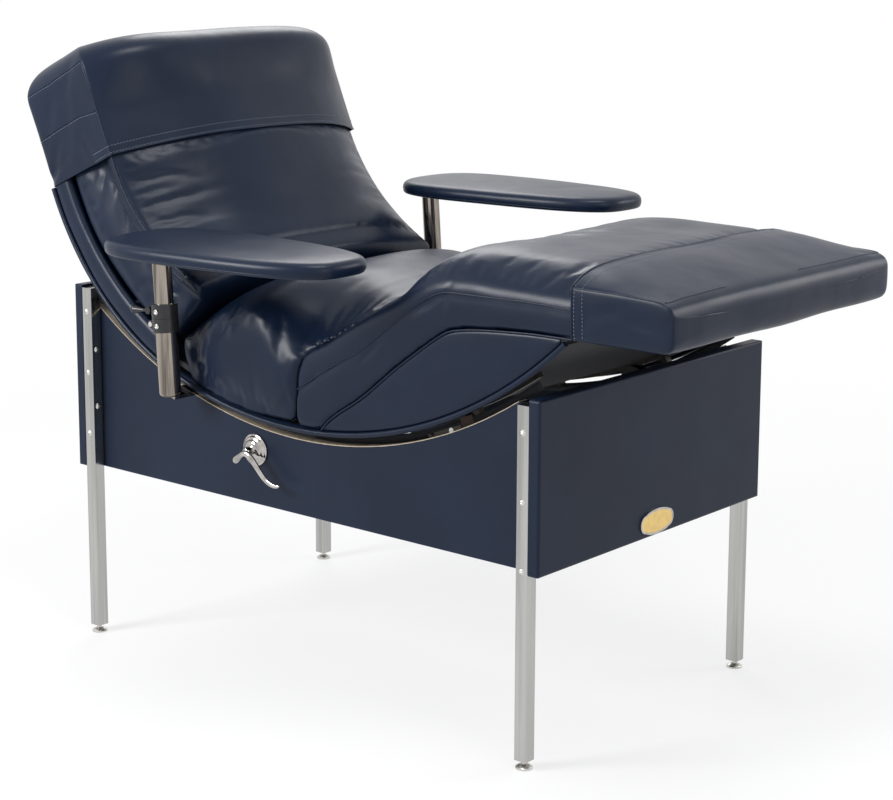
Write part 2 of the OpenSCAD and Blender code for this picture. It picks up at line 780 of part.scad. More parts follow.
module back_side(sy) {
  color(navy)
  slab_at(sy, board_in, lounge_wid/2)
    back_strip(cord_r + seat_gap, back_board_d - cord_r, back_side_a, board_top_s);
}
// Strip along the back at depth d0 from its rear edge, from an angle on the curl to a length on the straight
module back_strip(d0, t, a0, s1) {
  span = 2*tail_r;
  intersection() {
    translate([tail_x, tail_z]) difference() {
      circle(tail_r - d0, $fn = 180);
      circle(tail_r - d0 - t, $fn = 180);
    }
    translate([tail_x, tail_z]) polygon([[0, 0], for (a = [a0, (a0 + back_slope)/2, back_slope])
      span*[-sin(a), -cos(a)]]);
  }
  translate(back_at(0, 0)) rotate(180 - back_slope)
    translate([-strip_lap, -d0 - t]) square([s1 + strip_lap, t]);
}

// Piping cord along the lower edge of both side boards: a tube swept along the rocker and the curl
function cord_ring(p, a) = [for (i = [0:cord_sides - 1])
  let(t = 360*i/cord_sides, n = cord_r*cos(t)) [p[0] - n*sin(a), cord_y + cord_r*sin(t), p[1] + n*cos(a)]];
module piping() {
  rocker_n = ceil((foot_angle + tail_start)/cord_step);
  tail_n = ceil((back_slope - tail_start)/cord_step);
  on_rocker = [for (i = [0:rocker_n]) let(a = foot_angle - i*(foot_angle + tail_start)/rocker_n)
    cord_ring(rim(rocker_r, a), a)];
  on_tail = [for (i = [1:tail_n]) let(a = tail_start + i*(back_slope - tail_start)/tail_n)
    cord_ring(back_at((a - back_slope)*tail_r/deg, 0), -a)];
  color(navy) both_sides()
    loft(concat(on_rocker, on_tail, [cord_ring(back_at(hem_s - 2*soft_gap, 0), -back_slope)]));
}

// Leg cushion: rings across, from its rear end at the seat to the foot end, where it goes into the foot cover
function across(i, hw) = (hw - side_tuck)*across_shares[i];
function leg_half(x) =
  let(covered = x > cover_x - 1.5*soft_gap,
    hw = lounge_wid/2 - (covered ? cover_t + soft_gap - cover_proud : 0),
    notched = x > leg_px(notch_shares[0]) && x < leg_px(notch_shares[1]),
    zi = soft_gap + max(leg_seam(x) + (notched ? deck_t : 0),
      x < leg_px(board_meet_share) ? circle_z(x, deck_r) : 0),
    zs = notched ? leg_seam(x) + (covered ? soft_gap : 0) : zi, te = leg_edge(x), h = te - zs)
  concat([[x, 0, zi], [x, board_in/2, zi], [x, board_in, zi], [x, board_in + soft_gap, zs],
    [x, hw - (covered ? 3 : 1)*side_tuck, zs],
    [x, hw, zs + (covered ? 0.3 : 0.12)*h], [x, hw, zs + 0.6*h], [x, hw - 0.3*side_tuck, te - 0.1*h]],
    [for (i = back_row) [x, across(i, hw), leg_top(x, across_shares[i])]]);
module leg_cushion() {
  stations = concat([for (r = leg_shares) if (leg_px(r[0]) < cover_x - 3*soft_gap) leg_px(r[0])],
    [cover_x - 2*soft_gap, cover_x - soft_gap],
    [for (r = leg_shares) if (leg_px(r[0]) > cover_x) leg_px(r[0])]);
  color(navy) loft(turned([for (x = stations) whole(leg_half(x))]));
}

// Foot cover: a slip cover over the end of the leg rest
function foot_half(k, g) =
  let(x = cover_x + k[0]*(foot_end_x - cover_x) - max(0, k[0] - foot_nose_share)/(1 - foot_nose_share)*g,
    hw = lounge_wid/2 + cover_proud - g, z0 = leg_seam(cover_x) - soft_gap - cover_t,
    zb = z0 + k[3]*foot_edge_h + g, te = z0 + k[1]*foot_edge_h - g, h = te - zb)
  concat([[x, 0, zb], [x, hw/2, zb], [x, hw - 2*side_tuck, zb], [x, hw - side_tuck/2, zb + side_tuck/2],
    [x, hw, zb + 0.2*h], [x, hw, te - 0.1*h]],
    [for (i = back_row) let(q = across_shares[i])
      [x, (hw - side_tuck/2)*q, te + foot_crown*k[2]*(1 - pow(q, foot_power))]]);
module foot_cover() {
  color(navy)
  difference() {
    loft(turned([for (k = foot_shares) whole(foot_half(k, 0))]));
    loft(turned([for (k = concat([foot_open_share], foot_shares)) whole(foot_half(k, cover_t))]));
  }
}

// Bolster seat: its front lies on the slope of the leg cushion
function seat_low(x, y, zb) = y < board_in + 1.5*soft_gap ? max(zb, circle_z(x, deck_r) + soft_gap) : zb;
function seat_ring(x, zt, zb, front) =
  let(hw = lounge_wid/2 - side_tuck, drop = min(seat_edge_drop, 0.4*(zt - zb)), h = zt - drop - zb)
  concat([for (i = row) let(y = across(i, lounge_wid/2))
      [x, y, front ? max(zb, leg_top(x, across_shares[i]) + seat_lift) : seat_low(x, y, zb)]],
    [[x, hw, zb + 0.15*h], [x, hw + side_tuck, zb + 0.5*h], [x, hw + side_tuck/2, zb + 0.85*h]],
    [for (i = back_row) let(y = across(i, hw), k = across_shares[i], z = zt - drop*pow(k, seat_power))
      [x, y, front ? max(z, leg_top(x, k) + 2*seat_lift) : z]]);
module seat_cushion() {
  rise = seat_top - leg_z0;
  span = leg_x0 - seat_back_x;
  rear = [for (k = seat_shares) let(x = seat_back_x + k[0]*span)
    whole(seat_ring(x, leg_z0 + k[1]*rise, max(leg_z0 + k[2]*rise, circle_z(x, board_r) + seat_gap), false))];
  front = [for (r = leg_shares) if (r[0] < seat_front_share) let(x = leg_px(r[0]))
    whole(seat_ring(x, seat_top - seat_fall_share*rise*r[0],
      (r[0] < seat_tip_share ? leg_edge(x) : leg_top(x, 0)) + seat_lift, true))];
  color(navy) loft(turned(concat(rear, front)));
}

// Back cushion: crowned front, a boxing strip behind its seam and drawn-in sides
function round_in(t, r) = r*(1 - sqrt(1 - t*t));
// The back's crown gets lower where the back turns down behind the seat
function fade(s) = s > fade_end_s ? 1
  : fade_low_share + (1 - fade_low_share)*sin(90*max(0, (s - fade_s)/(fade_end_s - fade_s)));
// Ring across the back at length s, inset by e and grown by g, with straight sides where it is boxed
function back_ring(s, e, g, rear, boxed) =
  let(hw = lounge_wid/2 - e + g, front = back_t - e + g,
    r = rear + min(e, back_t/4)*(boxed ? 1 : low_in_share) - g,
    crown = (back_crown - e/2)*fade(s))
  whole([for (p = concat([[0, r], [hw/2, r], [hw - (boxed ? 3 : 1)*side_tuck, r]],
      [for (q = boxed ? boxed_side_shares : side_shares)
        [hw - q[1]*(boxed ? side_tuck : valley_in), r + q[0]*(front - r)]],
      [for (k = crown_shares) [k == 1 ? hw : (hw - side_tuck/4)*k, front + crown*(1 - pow(k, crown_power))]]))
    let(q = back_at(s, p[1])) [q[0], p[0], q[1]]]);
function back_stations(s1) = [for (t = end_shares) [s1 + back_end_r*(t - 1), round_in(t, back_end_r)]];
module back_cushion() {
  s0 = (back_low_a - back_slope)*tail_r/deg + back_low_r;
  low = [for (t = low_shares) [s0 - back_low_r*t, round_in(t, back_low_r)]];
  mid = concat([for (k = arc_shares) [s0*(1 - k), 0]], [for (k = mid_shares) [(back_len - back_end_r)*k, 0]]);
  color(navy) loft([for (st = concat(low, mid, back_stations(back_len - cover_t - soft_gap)))
    back_ring(st[0], st[1], 0, back_board_d + soft_gap, false)]);
}

// Head cover: a hooded slip cover over the top of the back
module head_cover() {
  middle = [hem_s + (back_len - back_end_r)/2, 0];
  color(navy)
  difference() {
    loft([for (st = concat([[hem_s, 0], middle], back_stations(back_len)))
      back_ring(st[0], st[1], cover_t + soft_gap, back_skin, true)]);
    loft([for (st = concat([[hem_s - over, 0], middle], back_stations(back_len - cover_t)))
      back_ring(st[0], st[1], soft_gap, back_skin, true)]);
  }
}

// Arm rests
function pad_ring(z, in) = [for (i = [0:pad_points - 1])
  let(a = 360*i/pad_points, c = cos(a), s = sin(a), e = 2/pad_power,
    u = sign(c)*pow(abs(c), e), v = sign(s)*pow(abs(s), e))
  [u*(pad_len/2 - in), v*(pad_wid/2 - in)*(1 - pad_taper*u), z]];
function post_dx(z) = -(z - socket_foot_z)*tan(post_lean);
module arm_pad(sy, z) {
  color(navy)
  translate([socket_foot_x + post_dx(z) + pad_x, sy*(post_y + pad_y), z])
    loft(turned([for (k = pad_rows) pad_ring(k[0]*pad_t, k[1]*pad_round)]));
}
module on_post(sy) {
  translate([socket_foot_x, sy*post_y, socket_foot_z]) rotate([0, -post_lean, 0]) children();
}
module arm_post(sy, z) {
  lift = (z - right_pad_z)/cos(post_lean);
  foot = socket_wall + post_start + lift;
  top = (z - plate_t/2 - socket_foot_z)/cos(post_lean);
  color(chrome) {
    difference() {
      union() {
        on_post(sy) translate([0, 0, foot]) cylinder(r = post_d/2, h = top - foot);
        translate([socket_foot_x + post_dx(z), sy*post_y, z - plate_t - soft_gap])
          cylinder(r = plate_r, h = plate_t);
      }
      on_post(sy) translate([0, 0, foot - over])
        cylinder(r = post_d/2 - socket_wall, h = top - foot - plate_t);
    }
  }
}
module arm_socket(sy) {
  round_r = 8;
  clamp_top = socket_len + ring_h;
  color(chrome) {
    difference() {
      union() {
        on_post(sy) rotate_extrude() {
          translate([0, round_r]) square([socket_r, clamp_top - round_r]);
          square([socket_r - round_r, round_r + over]);
          translate([socket_r - round_r, round_r]) circle(round_r);
        }
        at_rim(bar_top_r, arm_a) slab_at(sy, bar_in, post_y)
          translate([-bar_hw, -bar_t]) square([2*bar_hw, bar_t]);
      }
      on_post(sy) translate([0, 0, socket_wall]) cylinder(r = post_d/2 + socket_gap, h = clamp_top + over);
    }
    at_rim(under_r + seat_gap, arm_a) slab_at(sy, bar_in, panel_in)
      translate([-bar_hw, -(bar_top_r - under_r + bar_t/2)]) square([2*bar_hw, bar_top_r - under_r + bar_t/2 - seat_gap]);
  }
}
// Clamp ring about a post, slit on the side of dir, with two ears
module clamp(z, bore_r, dir, drill) {
  translate([0, 0, z]) difference() {
    union() {
      cylinder(r = ring_d/2, h = ring_h);
      translate([dir > 0 ? 0 : -ring_d/2 - ear_w, -ear_w/2, ring_h/4])
        cube([ring_d/2 + ear_w, ear_w, ring_h/2]);
    }
    translate([0, 0, -over]) cylinder(r = bore_r, h = ring_h + 2*over);
    translate([dir > 0 ? 0 : -ring_d, -slit_w/2, -over]) cube([ring_d, slit_w, ring_h + 2*over]);
    translate([dir*(ring_d/2 + ear_w/2), 0, ring_h/2]) rotate([90, 0, 0])
      cylinder(r = stud_r + seat_gap, h = ring_d, center = true);
  }
}
module lower_clamps() {
  color(dark) for (sy = [-1, 1]) on_post(sy) clamp(socket_len, socket_r + seat_gap, sy, true);
}
module clamp_screws() {
  color(zinc) for (sy = [-1, 1]) on_post(sy)
    translate([sy*(ring_d/2 + ear_w/2), 0, socket_len + ring_h/2]) rotate([90, 0, 0]) {
      cylinder(r = stud_r, h = ear_w + 2*seat_gap, center = true);
      for (s = [-1, 1]) translate([0, 0, s*(ear_w/2 + seat_gap + stud_r/2)])
        cylinder(r = nut_r, h = stud_r, center = true);
    }
}
module upper_clamp(sy) {
  color(dark) on_post(sy) clamp(upper_z, post_d/2 + clamp_gap, sy, true);
}
module clamp_lever(sy) {
  color(dark) on_post(sy)
    translate([sy*(ring_d/2 + ear_w/2), 0, upper_z + ring_h/2]) {
      rotate([90, 0, 0]) cylinder(r = stud_r, h = ear_w + 4*seat_gap, center = true);
      translate([0, sy*(ear_w/2 + 2*seat_gap), 0]) rotate([-sy*90, 0, 0]) {
        cylinder(r = lever_hub_r, h = lever_t);
        translate([0, 0, lever_t/2]) rotate([0, sy*90, 0]) rotate_extrude() lever_profile();
      }
      translate([0, -sy*(ear_w/2 + 2*seat_gap), 0]) rotate([sy*90, 0, 0])
        cylinder(r = nut_r, h = stud_r);
    }
}
// Teardrop of the lever along its length
module lever_profile() {
  polygon([[0, 0], [lever_t/2, 0], [lever_t*0.4, lever_len*0.3], [lever_bulb_r*0.94, lever_len*0.8],
    [0, lever_len*0.8]]);
  translate([0, lever_len*0.85]) intersection() {
    circle(lever_bulb_r);
    translate([0, -lever_bulb_r]) square([lever_bulb_r, 2*lever_bulb_r]);
  }
}

// The finished model stands with the middle of its bounding box at x = 0
head_end_x = min([for (st = back_stations(back_len))
  back_at(st[0], back_skin + min(st[1], back_t/4) - cover_t - soft_gap)[0]]);
mid_x = (foot_end_x + head_end_x)/2;
module placed() {
  translate([-mid_x, 0, 0]) children();
}
placed() leg(-1, -1, head_leg_top);  // leg_head_right
placed() leg(-1, 1, head_leg_top);  // leg_head_left
placed() leg(1, -1, foot_leg_top);  // leg_foot_right
placed() leg(1, 1, foot_leg_top);  // leg_foot_left
placed() side_panel(-1);  // side_panel_right
placed() side_panel(1);  // side_panel_left
placed() panel_trims();
placed() end_panel(-1, head_panel_top);  // head_panel
placed() end_panel(1, foot_panel_top);  // foot_panel
placed() plaque_rim();
placed() plaque_face();
placed() leg_screws();
placed() roller_brackets();
placed() roller_axles();
placed() stop_blocks();
placed() lock_rosette();
placed() brake_guide();
placed() glide(-1, -1);  // glide_head_right
placed() glide(-1, 1);  // glide_head_left
placed() glide(1, -1);  // glide_foot_right
placed() glide(1, 1);  // glide_foot_left
placed() roller(head_roller_a, -1);  // roller_head_right
placed() roller(head_roller_a, 1);  // roller_head_left
placed() roller(foot_roller_a, -1);  // roller_foot_right
placed() roller(foot_roller_a, 1);  // roller_foot_left
placed() lock_shaft();
placed() lock_cam();
placed() lock_handle();
placed() brake_shoe();
placed() brake_pad();
placed() bottom_board();
placed() back_board();
placed() leg_deck();
placed() leg_board(-1);  // leg_board_right
placed() leg_board(1);  // leg_board_left
placed() back_side(-1);  // back_side_right
placed() back_side(1);  // back_side_left
placed() rail(-1);  // rail_right
placed() rail(1);  // rail_left
placed() piping();
placed() seat_cushion();
placed() back_cushion();
placed() leg_cushion();
placed() head_cover();
placed() foot_cover();
placed() arm_socket(-1);  // arm_socket_right
placed() arm_socket(1);  // arm_socket_left
placed() lower_clamps();
placed() clamp_screws();
placed() upper_clamp(-1);  // upper_clamp_right
placed() upper_clamp(1);  // upper_clamp_left
placed() clamp_lever(-1);  // clamp_lever_right
placed() clamp_lever(1);  // clamp_lever_left
placed() arm_post(-1, right_pad_z);  // arm_post_right
placed() arm_post(1, left_pad_z);  // arm_post_left
placed() arm_pad(-1, right_pad_z);  // arm_pad_right
placed() arm_pad(1, left_pad_z);  // arm_pad_left
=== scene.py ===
import json
import math

import bmesh
import bpy
import numpy as np
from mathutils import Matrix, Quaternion, Vector, noise


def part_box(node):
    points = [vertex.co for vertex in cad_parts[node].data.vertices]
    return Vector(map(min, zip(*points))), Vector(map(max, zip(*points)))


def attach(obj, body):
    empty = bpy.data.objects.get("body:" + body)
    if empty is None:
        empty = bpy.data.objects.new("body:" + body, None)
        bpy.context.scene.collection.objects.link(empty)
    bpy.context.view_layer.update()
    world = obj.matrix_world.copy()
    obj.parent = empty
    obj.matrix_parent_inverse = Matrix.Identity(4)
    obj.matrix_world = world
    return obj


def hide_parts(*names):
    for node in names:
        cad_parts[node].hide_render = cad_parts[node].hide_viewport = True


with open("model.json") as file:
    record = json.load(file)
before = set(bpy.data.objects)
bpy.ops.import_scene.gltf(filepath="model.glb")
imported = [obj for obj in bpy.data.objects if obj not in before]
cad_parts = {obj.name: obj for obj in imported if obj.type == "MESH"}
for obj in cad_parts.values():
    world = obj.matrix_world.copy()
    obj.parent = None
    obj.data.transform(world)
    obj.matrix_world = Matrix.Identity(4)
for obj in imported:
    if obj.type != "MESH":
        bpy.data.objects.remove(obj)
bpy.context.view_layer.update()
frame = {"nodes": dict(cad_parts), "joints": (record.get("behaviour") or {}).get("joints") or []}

# Sizes in millimetres, with x from the middle of the base
MM = 0.001
ROCK_X, ROCK_Z = 15, 1397
ROCKER_R = 893
BOARD_R, FILL_R = 887.8, 873
TAIL_START, TAIL_R, SLOPE = 20, 600, 66
BACK_LEN, BACK_T, BACK_CROWN = 244, 193, 88
HALF_W = 336
LEG_X0, LEG_Z0, LEG_LEN, LEG_RISE = 20, 514, 808, 350
PAD_LEN, PAD_WID = 535, 248
DEG = 180 / math.pi

rock = next(j for j in frame["joints"] if j["name"] == "lounge_rock")
MID = ROCK_X - rock["pos_m"][0] / MM


def P(x, y, z):
    """A point of the base's own millimetres, in the frame's metres."""
    return Vector(((x - MID) * MM, y * MM, z * MM))


def rim(r, a):
    """Point (x, z) on the rocker's circle of radius r at angle a from straight down."""
    return ROCK_X + r * math.sin(math.radians(a)), ROCK_Z - r * math.cos(math.radians(a))


def back_at(s, d):
    """Point (x, z) at length s along the back, 0 where the curl ends, and depth d from its rear edge."""
    x0, z0 = rim(ROCKER_R, -TAIL_START)
    t = math.radians(TAIL_START)
    cx, cz = x0 + TAIL_R * math.sin(t), z0 + TAIL_R * math.cos(t)
    a = math.radians(SLOPE) + min(s, 0) / TAIL_R
    u = max(s, 0)
    return (cx - (TAIL_R - d) * math.sin(a) - u * math.cos(a),
            cz - (TAIL_R - d) * math.cos(a) + u * math.sin(a))


def smooth_lookup(x, table):
    """Cubic curve through a table's points, without overshoot."""
    xs = [k for k, v in table]
    ys = [v for k, v in table]
    if x <= xs[0]:
        return ys[0]
    if x >= xs[-1]:
        return ys[-1]
    i = max(k for k in range(len(xs) - 1) if xs[k] <= x)
    slopes = [(ys[k + 1] - ys[k]) / (xs[k + 1] - xs[k]) for k in range(len(xs) - 1)]

    def tangent(k):
        if k == 0 or k == len(xs) - 1:
            return slopes[min(k, len(slopes) - 1)]
        a, b = slopes[k - 1], slopes[k]
        return 0 if a * b <= 0 else 2 * a * b / (a + b)

    h = xs[i + 1] - xs[i]
    t = (x - xs[i]) / h
    m0, m1 = tangent(i) * h, tangent(i + 1) * h
    return ((2 * t**3 - 3 * t**2 + 1) * ys[i] + (t**3 - 2 * t**2 + t) * m0
            + (-2 * t**3 + 3 * t**2) * ys[i + 1] + (t**3 - t**2) * m1)


def ease(t):
    t = min(1.0, max(0.0, t))
    return t * t * (3 - 2 * t)


# Materials
def material(name):
    mat = bpy.data.materials.new(name)
    mat.use_nodes = True
    nodes = mat.node_tree.nodes
    return mat, nodes, mat.node_tree.links, nodes["Principled BSDF"]


def coordinates(nodes, links, scale=(1, 1, 1)):
    place = nodes.new("ShaderNodeTexCoord")
    mapping = nodes.new("ShaderNodeMapping")
    mapping.inputs["Scale"].default_value = scale
    links.new(place.outputs["Object"], mapping.inputs["Vector"])
    return mapping.outputs["Vector"]


def noise_node(nodes, links, vector, scale, detail=4.0, rough=0.55):
    node = nodes.new("ShaderNodeTexNoise")
    node.inputs["Scale"].default_value = scale
    node.inputs["Detail"].default_value = detail
    node.inputs["Roughness"].default_value = rough
    links.new(vector, node.inputs["Vector"])
    return node.outputs["Fac"]


def ramp(nodes, links, fac, low, high, low_at=0.35, high_at=0.65):
    node = nodes.new("ShaderNodeValToRGB")
    node.color_ramp.elements[0].position = low_at
    node.color_ramp.elements[1].position = high_at
    node.color_ramp.elements[0].color = (*low, 1)
    node.color_ramp.elements[1].color = (*high, 1)
    links.new(fac, node.inputs["Fac"])
    return node.outputs["Color"]


def spread(nodes, links, fac, low, high):
    node = nodes.new("ShaderNodeMapRange")
    node.inputs["To Min"].default_value = low
    node.inputs["To Max"].default_value = high
    links.new(fac, node.inputs["Value"])
    return node.outputs["Result"]


def bump(nodes, links, height, strength, distance, normal=None):
    node = nodes.new("ShaderNodeBump")
    node.inputs["Strength"].default_value = strength
    node.inputs["Distance"].default_value = distance
    links.new(height, node.inputs["Height"])
    if normal is not None:
        links.new(normal, node.inputs["Normal"])
    return node.outputs["Normal"]


NAVY_DARK = (0.0035, 0.0085, 0.0225)
NAVY_LIGHT = (0.0052, 0.0118, 0.0290)


def vinyl(name, dark, light, rough, waves, grain=1.0):
    """Satin upholstery vinyl: fine pebbled grain, soft waves and a little worn sheen."""
    mat, nodes, links, shader = material(name)
    at = coordinates(nodes, links)
    links.new(ramp(nodes, links, noise_node(nodes, links, at, 5.0), dark, light), shader.inputs["Base Color"])
    cell = nodes.new("ShaderNodeTexVoronoi")
    cell.feature = "DISTANCE_TO_EDGE"
    cell.inputs["Scale"].default_value = 620
    links.new(at, cell.inputs["Vector"])
    pebble = bump(nodes, links, cell.outputs["Distance"], 0.10 * grain, 0.0006)
    fine = bump(nodes, links, noise_node(nodes, links, at, 260, 3.0), 0.12 * grain, 0.0006, pebble)
    slow = bump(nodes, links, noise_node(nodes, links, at, 9.0, 2.0, 0.4), waves, 0.012, fine)
    links.new(slow, shader.inputs["Normal"])
    links.new(spread(nodes, links, noise_node(nodes, links, at, 14.0, 5.0), rough - 0.05, rough + 0.07),
              shader.inputs["Roughness"])
    shader.inputs["Specular IOR Level"].default_value = 0.2
    return mat


def metal(name, color, rough, scratch=0.03, stretch=(1, 1, 1), metallic=1.0, tarnish_and_reflection=0.14):
    mat, nodes, links, shader = material(name)
    at = coordinates(nodes, links, stretch)
    marks = noise_node(nodes, links, at, 60.0, 6.0, 0.6)
    # Base colour runs from dim to full by noise marks. On chrome the darker patches are painted reflections.
    # On leg_chrome and post_steel the dark streaks along the height, from their stretched coordinates, are
    # painted reflections. On the other metals the marks are tarnish.
    dim = tuple(c * (1 - tarnish_and_reflection) for c in color)
    links.new(ramp(nodes, links, marks, dim, color, 0.3, 0.55), shader.inputs["Base Color"])
    shader.inputs["Metallic"].default_value = metallic
    links.new(spread(nodes, links, marks, rough * 0.7, rough * 1.5), shader.inputs["Roughness"])
    links.new(bump(nodes, links, marks, scratch, 0.0005), shader.inputs["Normal"])
    return mat


def plain(name, low, high, rough, scale=40.0, height=0.1, stretch=(1, 1, 1)):
    """Non-metal with a fine mottle, such as rubber, nylon, plastic trim or plywood."""
    mat, nodes, links, shader = material(name)
    at = coordinates(nodes, links, stretch)
    mottle = noise_node(nodes, links, at, scale, 6.0)
    links.new(ramp(nodes, links, mottle, low, high), shader.inputs["Base Color"])
    links.new(spread(nodes, links, mottle, rough - 0.06, rough + 0.08), shader.inputs["Roughness"])
    links.new(bump(nodes, links, mottle, height, 0.0008), shader.inputs["Normal"])
    return mat


MATS = {
    "navy_vinyl": vinyl("navy_vinyl", NAVY_DARK, NAVY_LIGHT, 0.33, 0.25),
    "base_vinyl": vinyl("base_vinyl", NAVY_DARK, NAVY_LIGHT, 0.42, 0.08, 0.8),
    "thread": plain("navy_thread", (0.09, 0.12, 0.18), (0.15, 0.18, 0.25), 0.7, 900.0, 0.3),
    # Painted shade: near-black for the boards and felt in the base and for its bottom board, where there is
    # shadow.
    "lining": plain("lining", (0.010, 0.011, 0.014), (0.016, 0.017, 0.022), 0.8, 300.0),
    # chrome, leg_chrome and post_steel: their darker patches and streaks are painted reflections.
    "chrome": metal("chrome", (0.50, 0.48, 0.46), 0.06, 0.02, tarnish_and_reflection=0.4),
    "leg_chrome": metal("leg_chrome", (0.46, 0.46, 0.45), 0.18, 0.04, (1, 1, 0.03), tarnish_and_reflection=0.3),
    "zinc_steel": metal("zinc_steel", (0.60, 0.59, 0.56), 0.28, 0.06),
    # Painted shade: steel darkened for the rail, roller brackets and brake parts, which sit in shadow inside
    # the base.
    "shaded_steel": metal("shaded_steel", (0.07, 0.065, 0.06), 0.4, 0.06),
    "black_steel": metal("black_steel", (0.035, 0.035, 0.038), 0.3, 0.05, metallic=0.6),
    "post_steel": metal("post_steel", (0.36, 0.32, 0.28), 0.07, 0.02, (1, 1, 0.015), tarnish_and_reflection=0.86),
    "gold_field": metal("gold_field", (0.78, 0.56, 0.22), 0.3, 0.05),
    "edge_strip": plain("edge_strip", (0.36, 0.29, 0.21), (0.46, 0.39, 0.30), 0.5, 90.0),
    "brown_rubber": plain("brown_rubber", (0.045, 0.022, 0.014), (0.07, 0.035, 0.022), 0.65, 160.0, 0.25),
    "board": plain("board", (0.10, 0.075, 0.05), (0.17, 0.13, 0.09), 0.7, 24.0, 0.2, (1, 8, 1)),
    "roller_nylon": plain("roller_nylon", (0.012, 0.012, 0.013), (0.02, 0.02, 0.022), 0.45, 120.0),
}


def dress(obj, mat):
    obj.data.materials.clear()
    obj.data.materials.append(MATS[mat])


# Mesh helpers
def new_object(name, verts, faces, mat):
    mesh = bpy.data.meshes.new(name)
    mesh.from_pydata([tuple(v) for v in verts], [], faces)
    mesh.update()
    obj = bpy.data.objects.new(name, mesh)
    bpy.context.scene.collection.objects.link(obj)
    mesh.polygons.foreach_set("use_smooth", [True] * len(mesh.polygons))
    dress(obj, mat)
    return obj


def outward(obj):
    bm = bmesh.new()
    bm.from_mesh(obj.data)
    bmesh.ops.recalc_face_normals(bm, faces=bm.faces)
    bm.to_mesh(obj.data)
    bm.free()
    obj.data.update()


def loft(name, rings, mat, creases=()):
    """Closed skin through rings of points. creases gives the rings' seam columns, with their sharpness."""
    n, m = len(rings[0]), len(rings)
    verts = [p for ring in rings for p in ring]
    faces = []
    for i in range(m - 1):
        for j in range(n):
            k = (j + 1) % n
            faces.append((i * n + j, i * n + k, (i + 1) * n + k, (i + 1) * n + j))
    for i in (0, m - 1):
        centre = sum((Vector(p) for p in rings[i]), Vector()) / n
        verts.append(centre)
        faces += [(i * n + j, i * n + (j + 1) % n, len(verts) - 1) for j in range(n)]
    obj = new_object(name, verts, faces, mat)
    outward(obj)
    if creases:
        attribute = obj.data.attributes.new("crease_edge", "FLOAT", "EDGE")
        columns = dict(creases)
        for edge in obj.data.edges:
            a, b = edge.vertices
            if max(a, b) < n * m and a % n == b % n and a % n in columns:
                attribute.data[edge.index].value = columns[a % n]
    return obj


def subdivide(obj, levels):
    mod = obj.modifiers.new("subdivide", "SUBSURF")
    mod.levels = mod.render_levels = levels
    apply_modifiers(obj)


def apply_modifiers(obj):
    depsgraph = bpy.context.evaluated_depsgraph_get()
    mesh = bpy.data.meshes.new_from_object(obj.evaluated_get(depsgraph))
    obj.modifiers.clear()
    old = obj.data
    obj.data = mesh
    bpy.data.meshes.remove(old)
    obj.data.polygons.foreach_set("use_smooth", [True] * len(obj.data.polygons))
    obj.data.update()


def solidify(obj, thickness):
    """Gives a cover its thickness, inwards."""
    mod = obj.modifiers.new("thickness", "SOLIDIFY")
    mod.thickness = thickness * MM
    mod.offset = -1
    apply_modifiers(obj)


def coords(obj):
    points = np.empty(len(obj.data.vertices) * 3)
    obj.data.vertices.foreach_get("co", points)
    return points.reshape(-1, 3)


def set_coords(obj, points):
    obj.data.vertices.foreach_set("co", points.reshape(-1))
    obj.data.update()


def normals(obj):
    out = np.empty(len(obj.data.vertices) * 3)
    obj.data.vertex_normals.foreach_get("vector", out)
    return out.reshape(-1, 3)


def wrinkle(obj, folds, swell=0.0, scale=5.0, seed=0.0):
    """Presses folds into a piece. Each fold is (x, y, z, dx, dy, dz, length, width, depth) in millimetres."""
    points, normal = coords(obj), normals(obj)
    push = np.zeros(len(points))
    for x, y, z, dx, dy, dz, length, width, depth in folds:
        centre = np.array(P(x, y, z))
        way = np.array((dx, dy, dz), float)
        way /= np.linalg.norm(way)
        rel = points - centre
        along = rel @ way
        off = np.linalg.norm(rel - along[:, None] * way, axis=1)
        push -= depth * MM * np.exp(-(along / (length * MM))**2 - (off / (width * MM))**2)
    if swell:
        waves = [noise.noise(Vector(p) * scale + Vector((seed, 0, 0))) for p in points]
        push += swell * MM * np.array(waves)
    set_coords(obj, points + normal * push[:, None])


CLOTH_VOXEL = 8.0
CLOTH_FRAMES = 20
CLOTH_STIFF, CLOTH_BEND, CLOTH_MASS = 12, 0.6, 0.25


def puff(obj, held, pressure, cap, slack=0.012):
    """Swells a cover over its filling by cloth simulation, and moves no point further than cap millimetres.

    held says, for a point in millimetres, whether it stays fixed.
    """
    mod = obj.modifiers.new("cells", "REMESH")
    mod.mode = "VOXEL"
    mod.voxel_size = CLOTH_VOXEL * MM
    apply_modifiers(obj)
    before = coords(obj)
    group = obj.vertex_groups.new(name="held")
    for i, (x, y, z) in enumerate(before / MM):
        if held(x + MID, y, z):
            group.add([i], 1.0, "REPLACE")
    mod = obj.modifiers.new("cloth", "CLOTH")
    cloth = mod.settings
    cloth.quality = 4
    cloth.mass = CLOTH_MASS
    cloth.tension_stiffness = cloth.compression_stiffness = CLOTH_STIFF
    cloth.bending_stiffness = CLOTH_BEND
    cloth.vertex_group_mass = "held"
    cloth.use_pressure = True
    cloth.uniform_pressure_force = pressure
    cloth.shrink_min = -slack
    cloth.effector_weights.gravity = 0
    mod.collision_settings.use_collision = False
    mod.point_cache.frame_start, mod.point_cache.frame_end = 1, CLOTH_FRAMES
    scene = bpy.context.scene
    for step in range(1, CLOTH_FRAMES + 1):
        scene.frame_set(step)
    apply_modifiers(obj)
    scene.frame_set(1)
    moved = coords(obj) - before
    far = np.linalg.norm(moved, axis=1)
    reach = cap * MM
    share = np.where(far > 1e-9, reach * np.tanh(far / reach) / np.maximum(far, 1e-9), 0)
    set_coords(obj, before + moved * share[:, None])
    obj.vertex_groups.clear()
    subdivide(obj, 1)


